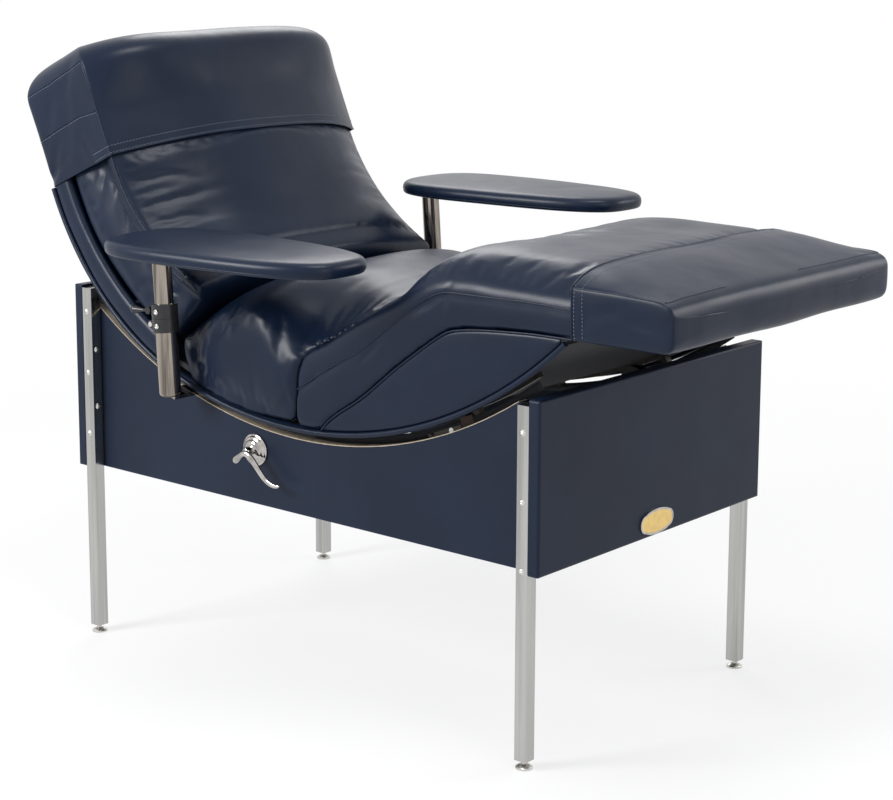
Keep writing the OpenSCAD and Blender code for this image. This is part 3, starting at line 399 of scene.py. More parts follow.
def tube(name, points, radius, mat, sides=10, closed=False):
    """Round cord through points."""
    curve = bpy.data.curves.new(name, "CURVE")
    curve.dimensions = "3D"
    curve.bevel_depth = radius * MM
    curve.bevel_resolution = sides // 4
    curve.use_fill_caps = True
    spline = curve.splines.new("POLY")
    spline.points.add(len(points) - 1)
    for p, q in zip(spline.points, points):
        p.co = (*q, 1)
    spline.use_cyclic_u = closed
    obj = bpy.data.objects.new(name, curve)
    bpy.context.scene.collection.objects.link(obj)
    depsgraph = bpy.context.evaluated_depsgraph_get()
    mesh = bpy.data.meshes.new_from_object(obj.evaluated_get(depsgraph))
    bpy.data.objects.remove(obj)
    piece = bpy.data.objects.new(name, mesh)
    bpy.context.scene.collection.objects.link(piece)
    mesh.polygons.foreach_set("use_smooth", [True] * len(mesh.polygons))
    dress(piece, mat)
    return piece


STITCH_LEN, STITCH_GAP, STITCH_W, STITCH_LIFT = 3.8, 2.4, 1.1, 0.6
STITCH_FACES = ((0, 1, 6), (0, 6, 2), (1, 3, 6), (2, 6, 4), (3, 5, 6), (4, 6, 5))


def stitches(name, points, up):
    """Row of short raised stitches along a line of points. up holds each point's surface normal."""
    verts, faces = [], []
    step = (STITCH_LEN + STITCH_GAP) * MM
    total, marks = 0.0, []
    for i in range(len(points) - 1):
        a, b = Vector(points[i]), Vector(points[i + 1])
        seg = (b - a).length
        while total < seg:
            share = total / seg
            normal = Vector(up[i]).lerp(Vector(up[i + 1]), share)
            marks.append((a.lerp(b, share), (b - a).normalized(), normal))
            total += step
        total -= seg
    for centre, way, normal in marks:
        side = way.cross(normal).normalized() * STITCH_W * MM / 2
        half = way * STITCH_LEN * MM / 2
        high = normal.normalized() * STITCH_LIFT * MM
        base = len(verts)
        verts += [centre - half, centre - half * 0.5 + side + high * 0.6,
                  centre - half * 0.5 - side + high * 0.6, centre + half * 0.5 + side + high,
                  centre + half * 0.5 - side + high, centre + half, centre + high * 1.3]
        faces += [tuple(base + k for k in corners) for corners in STITCH_FACES]
    return new_object(name, verts, faces, "thread")


def add(obj, body, replaced=()):
    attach(obj, body)
    if replaced:
        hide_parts(*replaced)
    return obj


# Curves of the lounge, as shares of the leg rest's length and rise
LEG_TOP = [(0, 0.217), (0.0087, 0.329), (0.038, 0.389), (0.084, 0.437), (0.13, 0.498), (0.174, 0.557),
           (0.23, 0.628), (0.29, 0.7), (0.346, 0.78), (0.401, 0.829), (0.43, 0.84), (0.51, 0.849),
           (0.615, 0.843), (0.745, 0.84), (0.9, 0.835), (0.965, 0.826), (0.988, 0.79)]
LEG_SEAM = [(0, -0.014), (0.06, -0.011), (0.074, -0.006), (0.1, 0.052), (0.13, 0.103), (0.19, 0.191),
            (0.304, 0.397), (0.388, 0.537), (0.416, 0.58), (0.443, 0.614), (0.47, 0.629), (0.523, 0.646),
            (0.602, 0.66),
            (0.68, 0.669), (0.77, 0.671), (1, 0.671)]
LEG_WELT = [(0, 0.177), (0.1, 0.323), (0.19, 0.44), (0.304, 0.634), (0.36, 0.726), (0.402, 0.78),
            (0.443, 0.806), (0.525, 0.809), (0.629, 0.814), (0.76, 0.811), (1, 0.8)]
LEG_CREST = [(0, 0), (0.084, 0.1), (0.174, 0.25), (0.23, 0.37), (0.29, 0.5), (0.346, 0.76), (0.401, 0.92),
             (0.44, 1), (0.77, 1), (0.838, 0.93), (0.914, 0.62), (0.965, 0.4), (1, 0.2)]
LEG_CROWN, CREST_POWER = 52, 11
COVER_SHARE = 0.762
DECK_T = 10


def leg_x(k):
    return LEG_X0 + k * LEG_LEN


def leg_curve(x, table):
    return LEG_Z0 + LEG_RISE * smooth_lookup((x - LEG_X0) / LEG_LEN, table)


def crest(x):
    return LEG_CROWN * smooth_lookup((x - LEG_X0) / LEG_LEN, LEG_CREST)


def leg_surface(x, share):
    """Height of the leg rest's top at a share of its half width."""
    return leg_curve(x, LEG_TOP) + 2 + (crest(x) - 2) * (1 - share**CREST_POWER)


def rocker_z(x, r):
    return ROCK_Z - math.sqrt(r * r - (x - ROCK_X)**2)


def both(half):
    """Whole ring from its half, y from 0 to the edge and back to 0."""
    return half + [(x, -y, z) for x, y, z in reversed(half[1:-1])]


def spaced(a, b, n):
    return [a + (b - a) * i / (n - 1) for i in range(n)]


def turn(n):
    """Angles of n points round a circle."""
    return [2 * math.pi * i / n for i in range(n)]


ACROSS = (1, 0.985, 0.955, 0.915, 0.86, 0.78, 0.66, 0.5, 0.32, 0.15, 0)


HELD_Y = 322


def leg_held(x, y, z):
    return abs(y) > HELD_Y or z < leg_curve(x, LEG_TOP) - 4 or x < 26 or x > 628


def leg_cushion():
    rings = []
    stations = [20, 20.8, 24, 30, 42, 58] + spaced(76, 630, 44)
    stations += [634, 637, 640, 660, 690, 730, 770, 795, 808, 814, 816]
    for x in stations:
        hidden = x > leg_x(COVER_SHARE)
        hw = HALF_W - (1.6 if hidden else 0.4)
        zs = leg_curve(x, LEG_SEAM) + 0.6
        te, z1 = leg_curve(x, LEG_TOP), leg_curve(x, LEG_WELT)
        z1 = min(z1, te - 8)
        zi = max(zs + DECK_T, rocker_z(x, FILL_R) if x < 430 else 0)
        half = [(x, 0, zi), (x, 160, zi), (x, 314, zi), (x, 316, zs), (x, hw - 4, zs), (x, hw - 0.5, zs + 2),
                (x, hw, zs + 7), (x, hw + 1.5, zs + 0.5 * (z1 - zs)), (x, hw + 0.5, z1 - 7),
                (x, hw - 2, z1 - 2),
                (x, hw - 0.5, z1 + 2), (x, hw + 0.5, z1 + 0.5 * (te - z1))]
        half += [(x, (hw - 3) * k, leg_surface(x, k)) for k in ACROSS]
        rings.append([P(*p) for p in both(half)])
    obj = loft("leg_rest_cushion", rings, "navy_vinyl", ((9, 0.5), (34, 0.5)))
    subdivide(obj, 2)
    puff(obj, leg_held, 3.5, 5)
    folds = []
    for sy in (-1, 1):
        for x, z, dx, dz, depth in ((60, 600, 1, 0.9, 2.0), (110, 630, 1, 0.7, 1.5), (200, 670, 1, 0.9, 1.8),
                                    (330, 770, 0.8, 0.5, 2.2), (372, 790, 0.3, 1, 1.6)):
            folds.append((x, sy * 336, z, dx, 0, dz, 28, 6, depth))
    wrinkle(obj, folds, swell=2.6, scale=6.5, seed=3)
    return add(obj, "lounge", ("leg_cushion",))


def seam_tube(name, points, radius=1.5):
    return add(tube(name, points, radius, "navy_vinyl", 8), "lounge")


def leg_seams():
    for side, sy in (("right", -1), ("left", 1)):
        upper = [P(x, sy * (HALF_W - 1.2), leg_curve(x, LEG_WELT)) for x in spaced(26, 634, 90)]
        seam_tube("leg_welt_upper_" + side, upper, 1.9)
        lower = [P(x, sy * (HALF_W - 0.9), leg_curve(x, LEG_SEAM) + 0.2) for x in spaced(84, 634, 90)]
        seam_tube("leg_welt_lower_" + side, lower, 1.9)


def leg_sides():
    for side, sy in (("right", -1), ("left", 1)):
        rings = []
        for x in [80, 81, 84] + spaced(90, 600, 40) + [607, 610, 611.5]:
            zl, zh = rocker_z(x, BOARD_R), leg_curve(x, LEG_SEAM) - 0.4
            h = zh - zl
            e = min(4.0, h * 0.3)
            ring = [(x, 314.5, zl), (x, 325, zl), (x, 330.5, zl + 0.2), (x, 333, zl + e * 0.5),
                    (x, 334.6, zl + 2 * e), (x, 336.2, zl + h * 0.5), (x, 335.8, zh - 2 * e),
                    (x, 335.2, zh - e * 0.5), (x, 333, zh - 0.2),
                    (x, 314.5, zh)]
            rings.append([P(a, sy * b, c) for a, b, c in ring])
        obj = loft("leg_side_panel_" + side, rings, "navy_vinyl")
        subdivide(obj, 1)
        wrinkle(obj, [], swell=0.8, scale=7, seed=5 + sy)
        add(obj, "lounge", ("leg_board_" + side,))


# Bolster seat, with its top and bottom along its length as shares of its rise
SEAT_BACK = -276
SEAT_TOP = 766
SEAT_CURVE = [(0, 0.5, 0.42), (0.01, 0.58, 0.34), (0.027, 0.635, 0.258), (0.061, 0.683, 0.15),
              (0.118, 0.738, 0.05), (0.257, 0.841, 0), (0.392, 0.909, 0), (0.568, 0.976, 0), (0.76, 1, 0),
              (0.93, 1, 0), (1.0, 0.998, 0)]
SEAT_STATIONS = (0, 0.006, 0.014, 0.027, 0.045, 0.08, 0.118, 0.18, 0.257, 0.33, 0.42, 0.52, 0.62, 0.72, 0.82,
                 0.92, 0.985)
SEAT_NOSE = (19.6, 25, 32, 42, 54, 75, 100, 130, 160, 190, 205)


def seat_ring(x, zt, zb, front):
    u = ease((x + 90) / 130)
    hw = HALF_W - 4 - 18 * ease((x - 20) / 30)
    drop = min(58, 0.42 * (zt - zb)) * (1 - u) + (zt - max(zb, 626) - 5) * u
    h = zt - drop - zb
    half = []
    for k in reversed(ACROSS):
        y = hw * k
        if front:
            z = leg_surface(x, y / HALF_W) + 0.8
        else:
            z = max(zb, rocker_z(x, FILL_R)) if y < 314 else zb
        half.append((x, y, z))
    out = 1 - ease((x - 20) / 30)
    half += [(x, hw - out, zb + 0.08 * h), (x, hw + out, zb + 0.25 * h), (x, hw + 3.5 * out, zb + 0.5 * h),
             (x, hw + 3 * out, zb + 0.78 * h), (x, hw + 0.5 * out, zb + 0.97 * h)]
    for k in ACROSS:
        z = zt - drop * k**(4.4 - 0.9 * u) - 4 * (1 - k * k)
        if front:
            z = max(z, leg_surface(x, (hw - 3 * out) * k / HALF_W) + 3)
        half.append((x, (hw - 3 * out) * k, z))
    return [P(*p) for p in both(half)]


def seat_held(x, y, z):
    on_leg_rest = leg_curve(x, LEG_TOP) + 16 if x > 14 else 0
    return z < max(rocker_z(x, 862), on_leg_rest) or (abs(y) < 300 and z < 640)


def seat():
    rise = SEAT_TOP - LEG_Z0
    span = LEG_X0 - SEAT_BACK
    tops = [(k, t) for k, t, b in SEAT_CURVE]
    lows = [(k, b) for k, t, b in SEAT_CURVE]
    rings = []
    for k in SEAT_STATIONS:
        x = SEAT_BACK + k * span
        zb = max(LEG_Z0 + smooth_lookup(k, lows) * rise, rocker_z(x, BOARD_R))
        rings.append(seat_ring(x, LEG_Z0 + smooth_lookup(k, tops) * rise, zb, False))
    for x in SEAT_NOSE:
        rings.append(seat_ring(x, SEAT_TOP - 10 * x / SEAT_NOSE[-1], leg_curve(x, LEG_TOP) + 0.8, True))
    obj = loft("seat_bolster", rings, "navy_vinyl")
    subdivide(obj, 2)
    puff(obj, seat_held, 4, 7, slack=0.02)
    folds = []
    for sy in (-1, 1):
        for x, z, dx, dz, length, depth in ((-215, 590, 0.25, 1, 34, 3.2), (-196, 575, 0.2, 1, 26, 2.6),
                                            (-236, 610, 0.3, 1, 30, 2.6), (-170, 560, 0.1, 1, 22, 2.2),
                                            (-120, 545, -0.1, 1, 24, 2.0), (-252, 640, 0.5, 1, 26, 2.2),
                                            (-60, 530, -0.2, 1, 26, 1.8), (-10, 600, -0.3, 1, 60, 2.4)):
            folds.append((x, sy * 333, z, dx, 0, dz, length, 7, depth))
    folds += [(100, 60, 752, 0.1, 1, 0, 200, 14, 2.4), (-200, -120, 722, 0.2, 1, 0, 120, 16, 2.2)]
    wrinkle(obj, folds, swell=4.5, scale=5.0, seed=11)
    return add(obj, "lounge", ("seat_cushion",))


# Back: cushion, side boards and the slip cover over its top
HEM_S = 9
COVER_GAP, COVER_T = 3.3, 2.2
BACK_LOW, BACK_GAP = -436, -1
BACK_CREASES = ((10, 0.55), (11, 0.55), (34, 0.55), (33, 0.55))
LEAN, LEAN_FROM, LEAN_SPAN = 48, -270, 150
CURL_START = -(SLOPE - TAIL_START) * TAIL_R / DEG + 6
END_R, LOW_R = 60, 20
CROWN_ROW = (1, 0.992, 0.975, 0.945, 0.9, 0.84, 0.76, 0.65, 0.52, 0.36, 0.18, 0)


def back_point(s, y, d):
    x, z = back_at(s, d)
    return P(x, y, z)


def crown_share(s):
    """The crown gets lower where the back turns down behind the seat."""
    return 1 if s > -110 else 0.35 + 0.65 * math.sin(math.pi / 2 * max(0, (s + 440) / 330))


def back_half(s, inset, g, boxed):
    """Half section (y, d) of the back, inset at its ends and grown by g, boxed under the slip cover."""
    hw = HALF_W - inset + g
    front = BACK_T - inset + g
    if boxed:
        rear = 3 + min(inset, BACK_T / 4) - g
        mid = (rear + front) / 2
        half = [(0, rear), (hw / 2, rear - 0.5), (hw - 22, rear), (hw - 7, rear + 2), (hw - 1.5, rear + 8),
                (hw, rear + 18), (hw - 0.5, rear + 48), (hw - 1.5, mid), (hw - 2, front - 50),
                (hw - 0.5, front - 24), (hw, front - 10)]
    else:
        rear = 52.5 + 0.15 * min(inset, BACK_T / 4)
        half = [(0, rear), (hw / 2, rear), (hw - 26, rear), (hw - 14, rear + 2), (hw - 7, rear + 10),
                (hw - 5, rear + 27), (hw - 10, rear + 56), (hw - 21, front - 36), (hw - 15, front - 22),
                (hw - 3, front - 17), (hw, front - 12)]
    crown = (BACK_CROWN - 0.5 * inset) * crown_share(s)
    power = 2.5 + 2.5 * ease((s - 90) / 110)
    for k in CROWN_ROW:
        half.append(((hw + 0.5) if k == 1 else hw * k, front + crown * (1 - k**power)))
    return half


def back_ring(s, inset, g, boxed):
    half = back_half(s, inset, g, boxed)
    ring = half + [(-y, d) for y, d in reversed(half[1:-1])]
    lean = 0 if boxed else LEAN * ease((LEAN_FROM - s) / LEAN_SPAN)
    return [back_point(s - lean * min(1, max(0, (d - 60) / 120)), y, d) for y, d in ring]


def round_in(t, r):
    return r * (1 - math.sqrt(max(0.0, 1 - t * t)))


def back_depth(x, z):
    """Length along the back and depth from its rear edge of a point in millimetres."""
    x0, z0 = back_at(0, 0)
    t = math.radians(SLOPE)
    s = (x0 - x) * math.cos(t) + (z - z0) * math.sin(t)
    if s > 0:
        return s, (x - x0) * math.sin(t) + (z - z0) * math.cos(t)
    cx, cz = back_at(0, TAIL_R)
    angle = math.atan2(cx - x, cz - z)
    return (angle - t) * TAIL_R, TAIL_R - math.hypot(x - cx, z - cz)


def back_held(x, y, z):
    s, d = back_depth(x, z)
    return d < 74 or s > 0 or s < BACK_LOW + 30 or (abs(y) > HELD_Y and d > BACK_T - 24)


def back_cushion():
    rings = []
    for t in (1, 0.985, 0.93, 0.8, 0.6, 0.35, 0):
        rings.append(back_ring(BACK_LOW + LOW_R * (1 - t), round_in(t, LOW_R), BACK_GAP, False))
    for s in spaced(BACK_LOW + LOW_R + 25, 90, 20):
        rings.append(back_ring(s, 0, BACK_GAP, False))
    obj = loft("back_cushion_panel", rings, "navy_vinyl", BACK_CREASES)
    subdivide(obj, 2)
    puff(obj, back_held, 4, 7, slack=0.015)
    folds = []
    for sy in (-1, 1):
        for s, d, ds, dd, length, depth in ((-60, 168, 1, 0.6, 40, 4.0), (-150, 160, 1, 0.5, 46, 4.5),
                                            (-230, 158, 1, 0.4, 40, 4.0), (-300, 165, 1, 0.2, 40, 4.0)):
            x, z = back_at(s, d)
            x1, z1 = back_at(s + ds, d + dd)
            folds.append((x, sy * 318, z, x1 - x, 0, z1 - z, length, 9, depth))
    wrinkle(obj, folds, swell=4.0, scale=5.5, seed=21)
    add(obj, "lounge", ("back_cushion",))
    for side, sy in (("right", -1), ("left", 1)):
        for label, y, d, radius in (("front", HALF_W - 0.5, BACK_T - 2, 2.2),
                                    ("rear", HALF_W - 2.5, BACK_T - 18, 1.6)):
            probes = [back_point(s, sy * y, d) for s in spaced(BACK_LOW + LOW_R, HEM_S, 70)]
            seam_tube("back_seam_%s_%s" % (label, side), surface_line(obj, probes, 0.3)[0], radius)


# Angle at which the back's side boards start, in degrees
SIDE_START = 22.8


def back_sides():
    start = (SIDE_START - SLOPE) * TAIL_R / DEG
    for side, sy in (("right", -1), ("left", 1)):
        rings = []
        stations = [start, start + 0.6, start + 3] + spaced(start + 12, 40, 26)
        for s in stations:
            ring = [(314.5, 5.4), (325, 5.4), (331, 6), (334, 9), (335.6, 15), (336.4, 27), (336, 38),
                    (334.4, 45),
                    (331, 49), (325, 51.2), (314.5, 51.8)]
            rings.append([back_point(s, sy * y, d) for y, d in ring])
        obj = loft("back_side_panel_" + side, rings, "navy_vinyl")
        subdivide(obj, 1)
        wrinkle(obj, [], swell=1.2, scale=8, seed=31 + sy)
        add(obj, "lounge", ("back_side_" + side,))


PIPING_Y, PIPING_R = 331.6, 5.3
TAPE_IN, TAPE_OUT = 304, 330
TAPE_DEPTHS = (3.2, 4.6)


def piping():
    """Cords along the lounge's lower edges, each with the tape that it is sewn to."""
    for side, sy in (("right", -1), ("left", 1)):
        line = [rim(ROCKER_R, a) for a in spaced(42.6, -TAIL_START, 70)]
        line += [back_at(s, 0) for s in spaced(CURL_START, 8, 40)]
        obj = tube("piping_" + side, [P(x, sy * PIPING_Y, z) for x, z in line], PIPING_R, "navy_vinyl", 16)
        add(obj, "lounge", ("piping",) if sy < 0 else ())
        pairs = [[rim(ROCKER_R - d, a) for d in TAPE_DEPTHS] for a in spaced(41.5, -TAIL_START, 60)]
        pairs += [[back_at(s, d) for d in TAPE_DEPTHS] for s in spaced(CURL_START, 4, 40)]
        low, high = sy * TAPE_IN, sy * TAPE_OUT
        rings = [[P(a[0], low, a[1]), P(a[0], high, a[1]), P(b[0], high, b[1]), P(b[0], low, b[1])]
                 for a, b in pairs]
        add(loft("piping_tape_" + side, rings, "navy_vinyl"), "lounge")


# Folds of the head cover's sides: place, direction, length, width and depth
HEAD_FOLDS = [(60, 40, 1, 0.8, 70, 10, 3.0), (90, 90, 1, 0.5, 60, 12, 2.6), (40, 130, 1, -0.3, 50, 10, 2.4),
              (140, 60, 1, 0.6, 60, 12, 2.6), (180, 130, 1, 0.9, 50, 12, 2.4), (30, 20, 0.4, 1, 40, 8, 2.0)]
GUSSET_SEAMS = (("upper", ((196, 12), (196, 80), (200, 140), (202, 188))),
                ("middle", ((104, 8), (108, 80), (108, 140), (100, 190))))
COVER_SIDE = HALF_W + COVER_GAP


def head_cover():
    rings = []
    stations = [(HEM_S, 0), (HEM_S + 1.2, 0), (HEM_S + 5, 0), (HEM_S + 12, 0)]
    stations += [(s, 0) for s in spaced(HEM_S + 24, BACK_LEN - END_R - 4, 12)]
    stations += [(BACK_LEN - END_R + END_R * t, round_in(t, END_R))
                 for t in (0.15, 0.35, 0.55, 0.72, 0.85, 0.94, 0.985, 1)]
    for s, inset in stations:
        rings.append(back_ring(s, inset, COVER_GAP, True))
    obj = loft("head_slip_cover", rings, "navy_vinyl", ((10, 0.25), (34, 0.25)))
    open_end(obj, lambda p: abs(along_back(p) - HEM_S) < 0.6)
    subdivide(obj, 2)
    folds = []
    for sy in (-1, 1):
        for s, d, ds, dd, length, width, depth in HEAD_FOLDS:
            x, z = back_at(s, d)
            x1, z1 = back_at(s + ds, d + dd)
            folds.append((x, sy * 339, z, x1 - x, 0, z1 - z, length, width, depth))
    wrinkle(obj, folds, swell=3.2, scale=5.0, seed=41)
    solidify(obj, COVER_T)
    return add(obj, "lounge", ("head_cover",))


def along_back(p):
    """Length along the straight part of the back of a point in the frame's metres."""
    x0, z0 = back_at(0, 0)
    a = math.radians(SLOPE)
    return (-(p.x / MM + MID - x0) * math.cos(a)) + (p.z / MM - z0) * math.sin(a)


def open_end(obj, test):
    """Removes the faces whose corners all pass the test, so that a cover is open there."""
    bm = bmesh.new()
    bm.from_mesh(obj.data)
    gone = [f for f in bm.faces if all(test(v.co) for v in f.verts)]
    bmesh.ops.delete(bm, geom=gone, context="FACES")
    loose = [v for v in bm.verts if not v.link_faces]
    bmesh.ops.delete(bm, geom=loose, context="VERTS")
    bm.to_mesh(obj.data)
    bm.free()
    obj.data.update()


def surface_line(obj, probes, lift=0.4):
    """Points on a piece's surface nearest to the probe points, with their normals."""
    points, ups = [], []
    for q in probes:
        hit, place, normal, index = obj.closest_point_on_mesh(q)
        if hit:
            points.append(place + normal * lift * MM)
            ups.append(normal)
    return points, ups


def head_seams(cover):
    front = [(y, d) for y, d in back_half(0, 0, COVER_GAP, True)[8:]]
    across = front + [(-y, d) for y, d in reversed(front[:-1])]
    for name, s in (("head_hem_stitch_low", HEM_S + 3.5), ("head_hem_stitch_high", HEM_S + 17)):
        points, ups = surface_line(cover, densify([back_point(s, y, d) for y, d in across], 8))
        add(stitches(name, points, ups), "lounge")
    edge = densify([back_point(HEM_S, y, d) for y, d in across], 8)
    seam_tube("head_hem_edge", surface_line(cover, edge, 0.0)[0], 2.1)
    for side, sy in (("right", -1), ("left", 1)):
        for label, pts in GUSSET_SEAMS:
            probes = densify([back_point(s, sy * COVER_SIDE, d) for s, d in pts], 6)
            seam_tube("head_gusset_seam_%s_%s" % (label, side), surface_line(cover, probes, 0.0)[0], 1.3)
            points, ups = surface_line(cover, [q + Vector((0.002, 0, -0.004)) for q in probes])
            add(stitches("head_gusset_stitch_%s_%s" % (label, side), points, ups), "lounge")
        probes = densify([back_point(s, sy * COVER_SIDE, 194) for s in (HEM_S, 60, 120, 195)], 8)
        seam_tube("head_front_seam_" + side, surface_line(cover, probes, 0.0)[0], 1.8)


def densify(points, step):
    out = [Vector(points[0])]
    for a, b in zip(points, points[1:]):
        a, b = Vector(a), Vector(b)
        n = max(1, int((b - a).length / (step * MM)))
        out += [a.lerp(b, i / n) for i in range(1, n + 1)]
    return out


# Foot cover: share of its length, then its edge height, crown and lower edge as shares
FOOT = [(0, 1, 1, 0), (0.02, 1, 1, 0), (0.1, 0.998, 0.98, 0), (0.3, 0.99, 0.9, 0), (0.6, 0.975, 0.5, 0),
        (0.8, 0.96, 0.16, 0), (0.9, 0.93, 0.07, 0.01), (0.95, 0.87, 0.04, 0.05), (0.98, 0.78, 0.03, 0.12),
        (1, 0.62, 0.0, 0.28)]
FOOT_EDGE = 89.5
FOOT_CROWN, FOOT_POWER = 31, 8


def foot_cover():
    x0 = leg_x(COVER_SHARE)
    x1 = LEG_X0 + LEG_LEN + 3
    z0 = leg_curve(x0, LEG_SEAM) - COVER_GAP
    hw = HALF_W + 2
    rings = []
    for k, top, crown, low in FOOT:
        x = x0 + k * (x1 - x0)
        zb, te = z0 + low * FOOT_EDGE, z0 + top * FOOT_EDGE
        h = te - zb
        side_in = 10 * max(0, k - 0.9) ** 2 * 100 / 4
        w = hw - side_in
        half = [(x, 0, zb), (x, w / 2, zb), (x, w - 16, zb), (x, w - 5, zb + 1),
                (x, w - 0.5, zb + min(6, 0.2 * h)), (x, w + 0.5, zb + 0.4 * h), (x, w + 0.5, zb + 0.75 * h),
                (x, w, te - min(7, 0.15 * h))]
        half += [(x, (w - 1.5) * q, te + FOOT_CROWN * crown * (1 - q**FOOT_POWER)) for q in ACROSS]
        rings.append([P(*p) for p in both(half)])
    obj = loft("foot_slip_cover", rings, "navy_vinyl", ((8, 0.35), (27, 0.35)))
    open_end(obj, lambda p: abs(p.x / MM + MID - x0) < 0.6)
    subdivide(obj, 2)
    folds = []
    for sy in (-1, 1):
        folds += [(700, sy * hw, 800, 0.9, 0, 0.35, 30, 7, 2.0), (660, sy * hw, 780, 0.3, 0, 1, 26, 6, 2.0),
                  (770, sy * hw, 790, 1, 0, -0.2, 30, 7, 1.8),
                  (800, sy * 300, 828, 0.4, sy * 1, 0, 30, 8, 2.2),
                  (820, sy * 310, 790, 0, sy * 1, 0.4, 24, 7, 2.2)]
    wrinkle(obj, folds, swell=3.0, scale=6.0, seed=51)
    solidify(obj, COVER_T)
    add(obj, "lounge", ("foot_cover",))
    over = [(hw, z0 + 4), (hw, z0 + FOOT_EDGE - 4)]
    over += [((HALF_W + 0.5) * q, z0 + FOOT_EDGE + FOOT_CROWN * (1 - q**FOOT_POWER)) for q in ACROSS]
    line = over + [(-y, z) for y, z in reversed(over[:-1])]
    edge = densify([P(x0, y, z) for y, z in line], 8)
    seam_tube("foot_hem_edge", surface_line(obj, edge, 0.0)[0], 2.0)
    for name, off in (("foot_hem_stitch_low", 5), ("foot_hem_stitch_high", 21)):
        points, ups = surface_line(obj, densify([P(x0 + off, y, z) for y, z in line], 6))
        add(stitches(name, points, ups), "lounge")
    for side, sy in (("right", -1), ("left", 1)):
        probes = densify([P(x, sy * hw, z0 + FOOT_EDGE * 0.985) for x in spaced(x0, x1 - 22, 8)], 8)
        seam_tube("foot_top_seam_" + side, surface_line(obj, probes, 0.0)[0], 1.4)
    probes = densify([P(x1 - 24, y, z0 + FOOT_EDGE * 0.96) for y in (-326, -160, 0, 160, 326)], 8)
    seam_tube("foot_end_seam", surface_line(obj, probes, 0.0)[0], 1.4)


# Arm rests: rows of (inset from the outline, height)
PAD_POWER, PAD_TAPER = 3.2, 0.15
PAD_ROWS = [(60, 0), (22, 0), (9, 0), (3, 0.6), (0.6, 3.5), (-1, 9), (-1.2, 15), (0.2, 20.5), (4, 25),
            (11, 28),
            (24, 29.5), (48, 31), (80, 32)]


def pad_ring(centre, inset, z):
    """Rounded oval, narrower towards the foot end."""
    ring = []
    e = 2 / PAD_POWER
    for a in turn(72):
        u = math.copysign(abs(math.cos(a))**e, math.cos(a))
        v = math.copysign(abs(math.sin(a))**e, math.sin(a))
        taper = 1 - PAD_TAPER * u
        ring.append(Vector((centre.x + u * (PAD_LEN / 2 - inset) * MM,
                            centre.y + v * (PAD_WID / 2 - inset) * MM * taper,
                            centre.z + z * MM)))
    return ring


def arm_pads():
    for side in ("right", "left"):
        low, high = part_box("arm_pad_" + side)
        centre = Vector(((low[0] + high[0]) / 2, (low[1] + high[1]) / 2, low[2]))
        rings = [pad_ring(centre, inset, z) for inset, z in PAD_ROWS]
        obj = loft("arm_rest_pad_" + side, rings, "navy_vinyl")
        subdivide(obj, 2)
        wrinkle(obj, [], swell=1.2, scale=6.0, seed=61 if side == "left" else 67)
        add(obj, "arm_rest_" + side, ("arm_pad_" + side,))
        seam = tube("arm_rest_seam_" + side, pad_ring(centre, 1.0, 5.5), 1.3, "navy_vinyl", 8, closed=True)
        add(seam, "arm_rest_" + side)


# Lock: the rosette on the side panel and the handle in front of it.
# Profiles are rows of (radius, height), and the lever's rows are (x, z, half width, half thickness)
ROSETTE = ((30, 0), (30.5, 0.3), (30.5, 2.4), (29.8, 3.4), (27.6, 4.2), (26.6, 4.4), (26.1, 5.6), (24.6, 7.2),
           (21.6, 8.3), (20.6, 8.5), (20, 9.8), (18, 11.6), (14.5, 13), (11, 13.6), (10.4, 13.8), (10, 15),
           (9, 15.2))
LEVER_Y = -342
LEVER = ((-132.5, 420.5, 1.2, 1.2), (-131, 421.6, 5, 4.6), (-127.5, 424.3, 7.8, 7), (-123, 427.8, 8, 7.2),
         (-117.5, 432.5, 6.4, 6), (-111.5, 438, 5.2, 5), (-104, 441.8, 6.4, 5.2), (-95, 440, 7.6, 5),
         (-84, 431.5, 7.2, 4.4), (-69, 416, 6.2, 4), (-54, 401, 5.8, 3.7), (-38, 393, 5.2, 3.4),
         (-25, 391.8, 4.2, 3), (-18, 393.6, 2.8, 2.2), (-15.5, 394.6, 0.8, 0.8))
BOSS_OUT = 13
BOSS = ((8.5, 0), (9, 0.5), (9, 8), (8.2, 10), (7.8, 14), (6, 15))


def lathe(name, centre, profile, mat):
    """Round piece about an axis along -y. The profile holds (radius, height) from the panel outwards."""
    rings = [[P(centre[0] + r * math.cos(a), centre[1] - h, centre[2] + r * math.sin(a)) for a in turn(56)]
             for r, h in profile]
    return loft(name, rings, mat)


def swept(name, path, mat):
    """Smooth bar. Each row of the path is (x, y, z, half width, half thickness along y)."""
    rings = []
    for i, (x, y, z, w, t) in enumerate(path):
        a, b = path[max(0, i - 1)], path[min(len(path) - 1, i + 1)]
        way = Vector((b[0] - a[0], 0, b[2] - a[2])).normalized()
        side = Vector((-way.z, 0, way.x))
        rings.append([P(x + side.x * w * math.cos(v), y + t * math.sin(v), z + side.z * w * math.cos(v))
                      for v in turn(12)])
    obj = loft(name, rings, mat)
    subdivide(obj, 2)
    return obj


# Base stretcher: half width, edge rounding and thickness. Felt strip: corners as (y, radius)
STRETCHER_IN, STRETCHER_OUT, STRETCHER_EDGE, STRETCHER_T, STRETCHER_GAP = 92, 190, 1.5, 20, 0.4
FELT = ((287.4, 917), (290.9, 917), (290.9, 903), (289.6, 901.6), (287.9, 901.8))


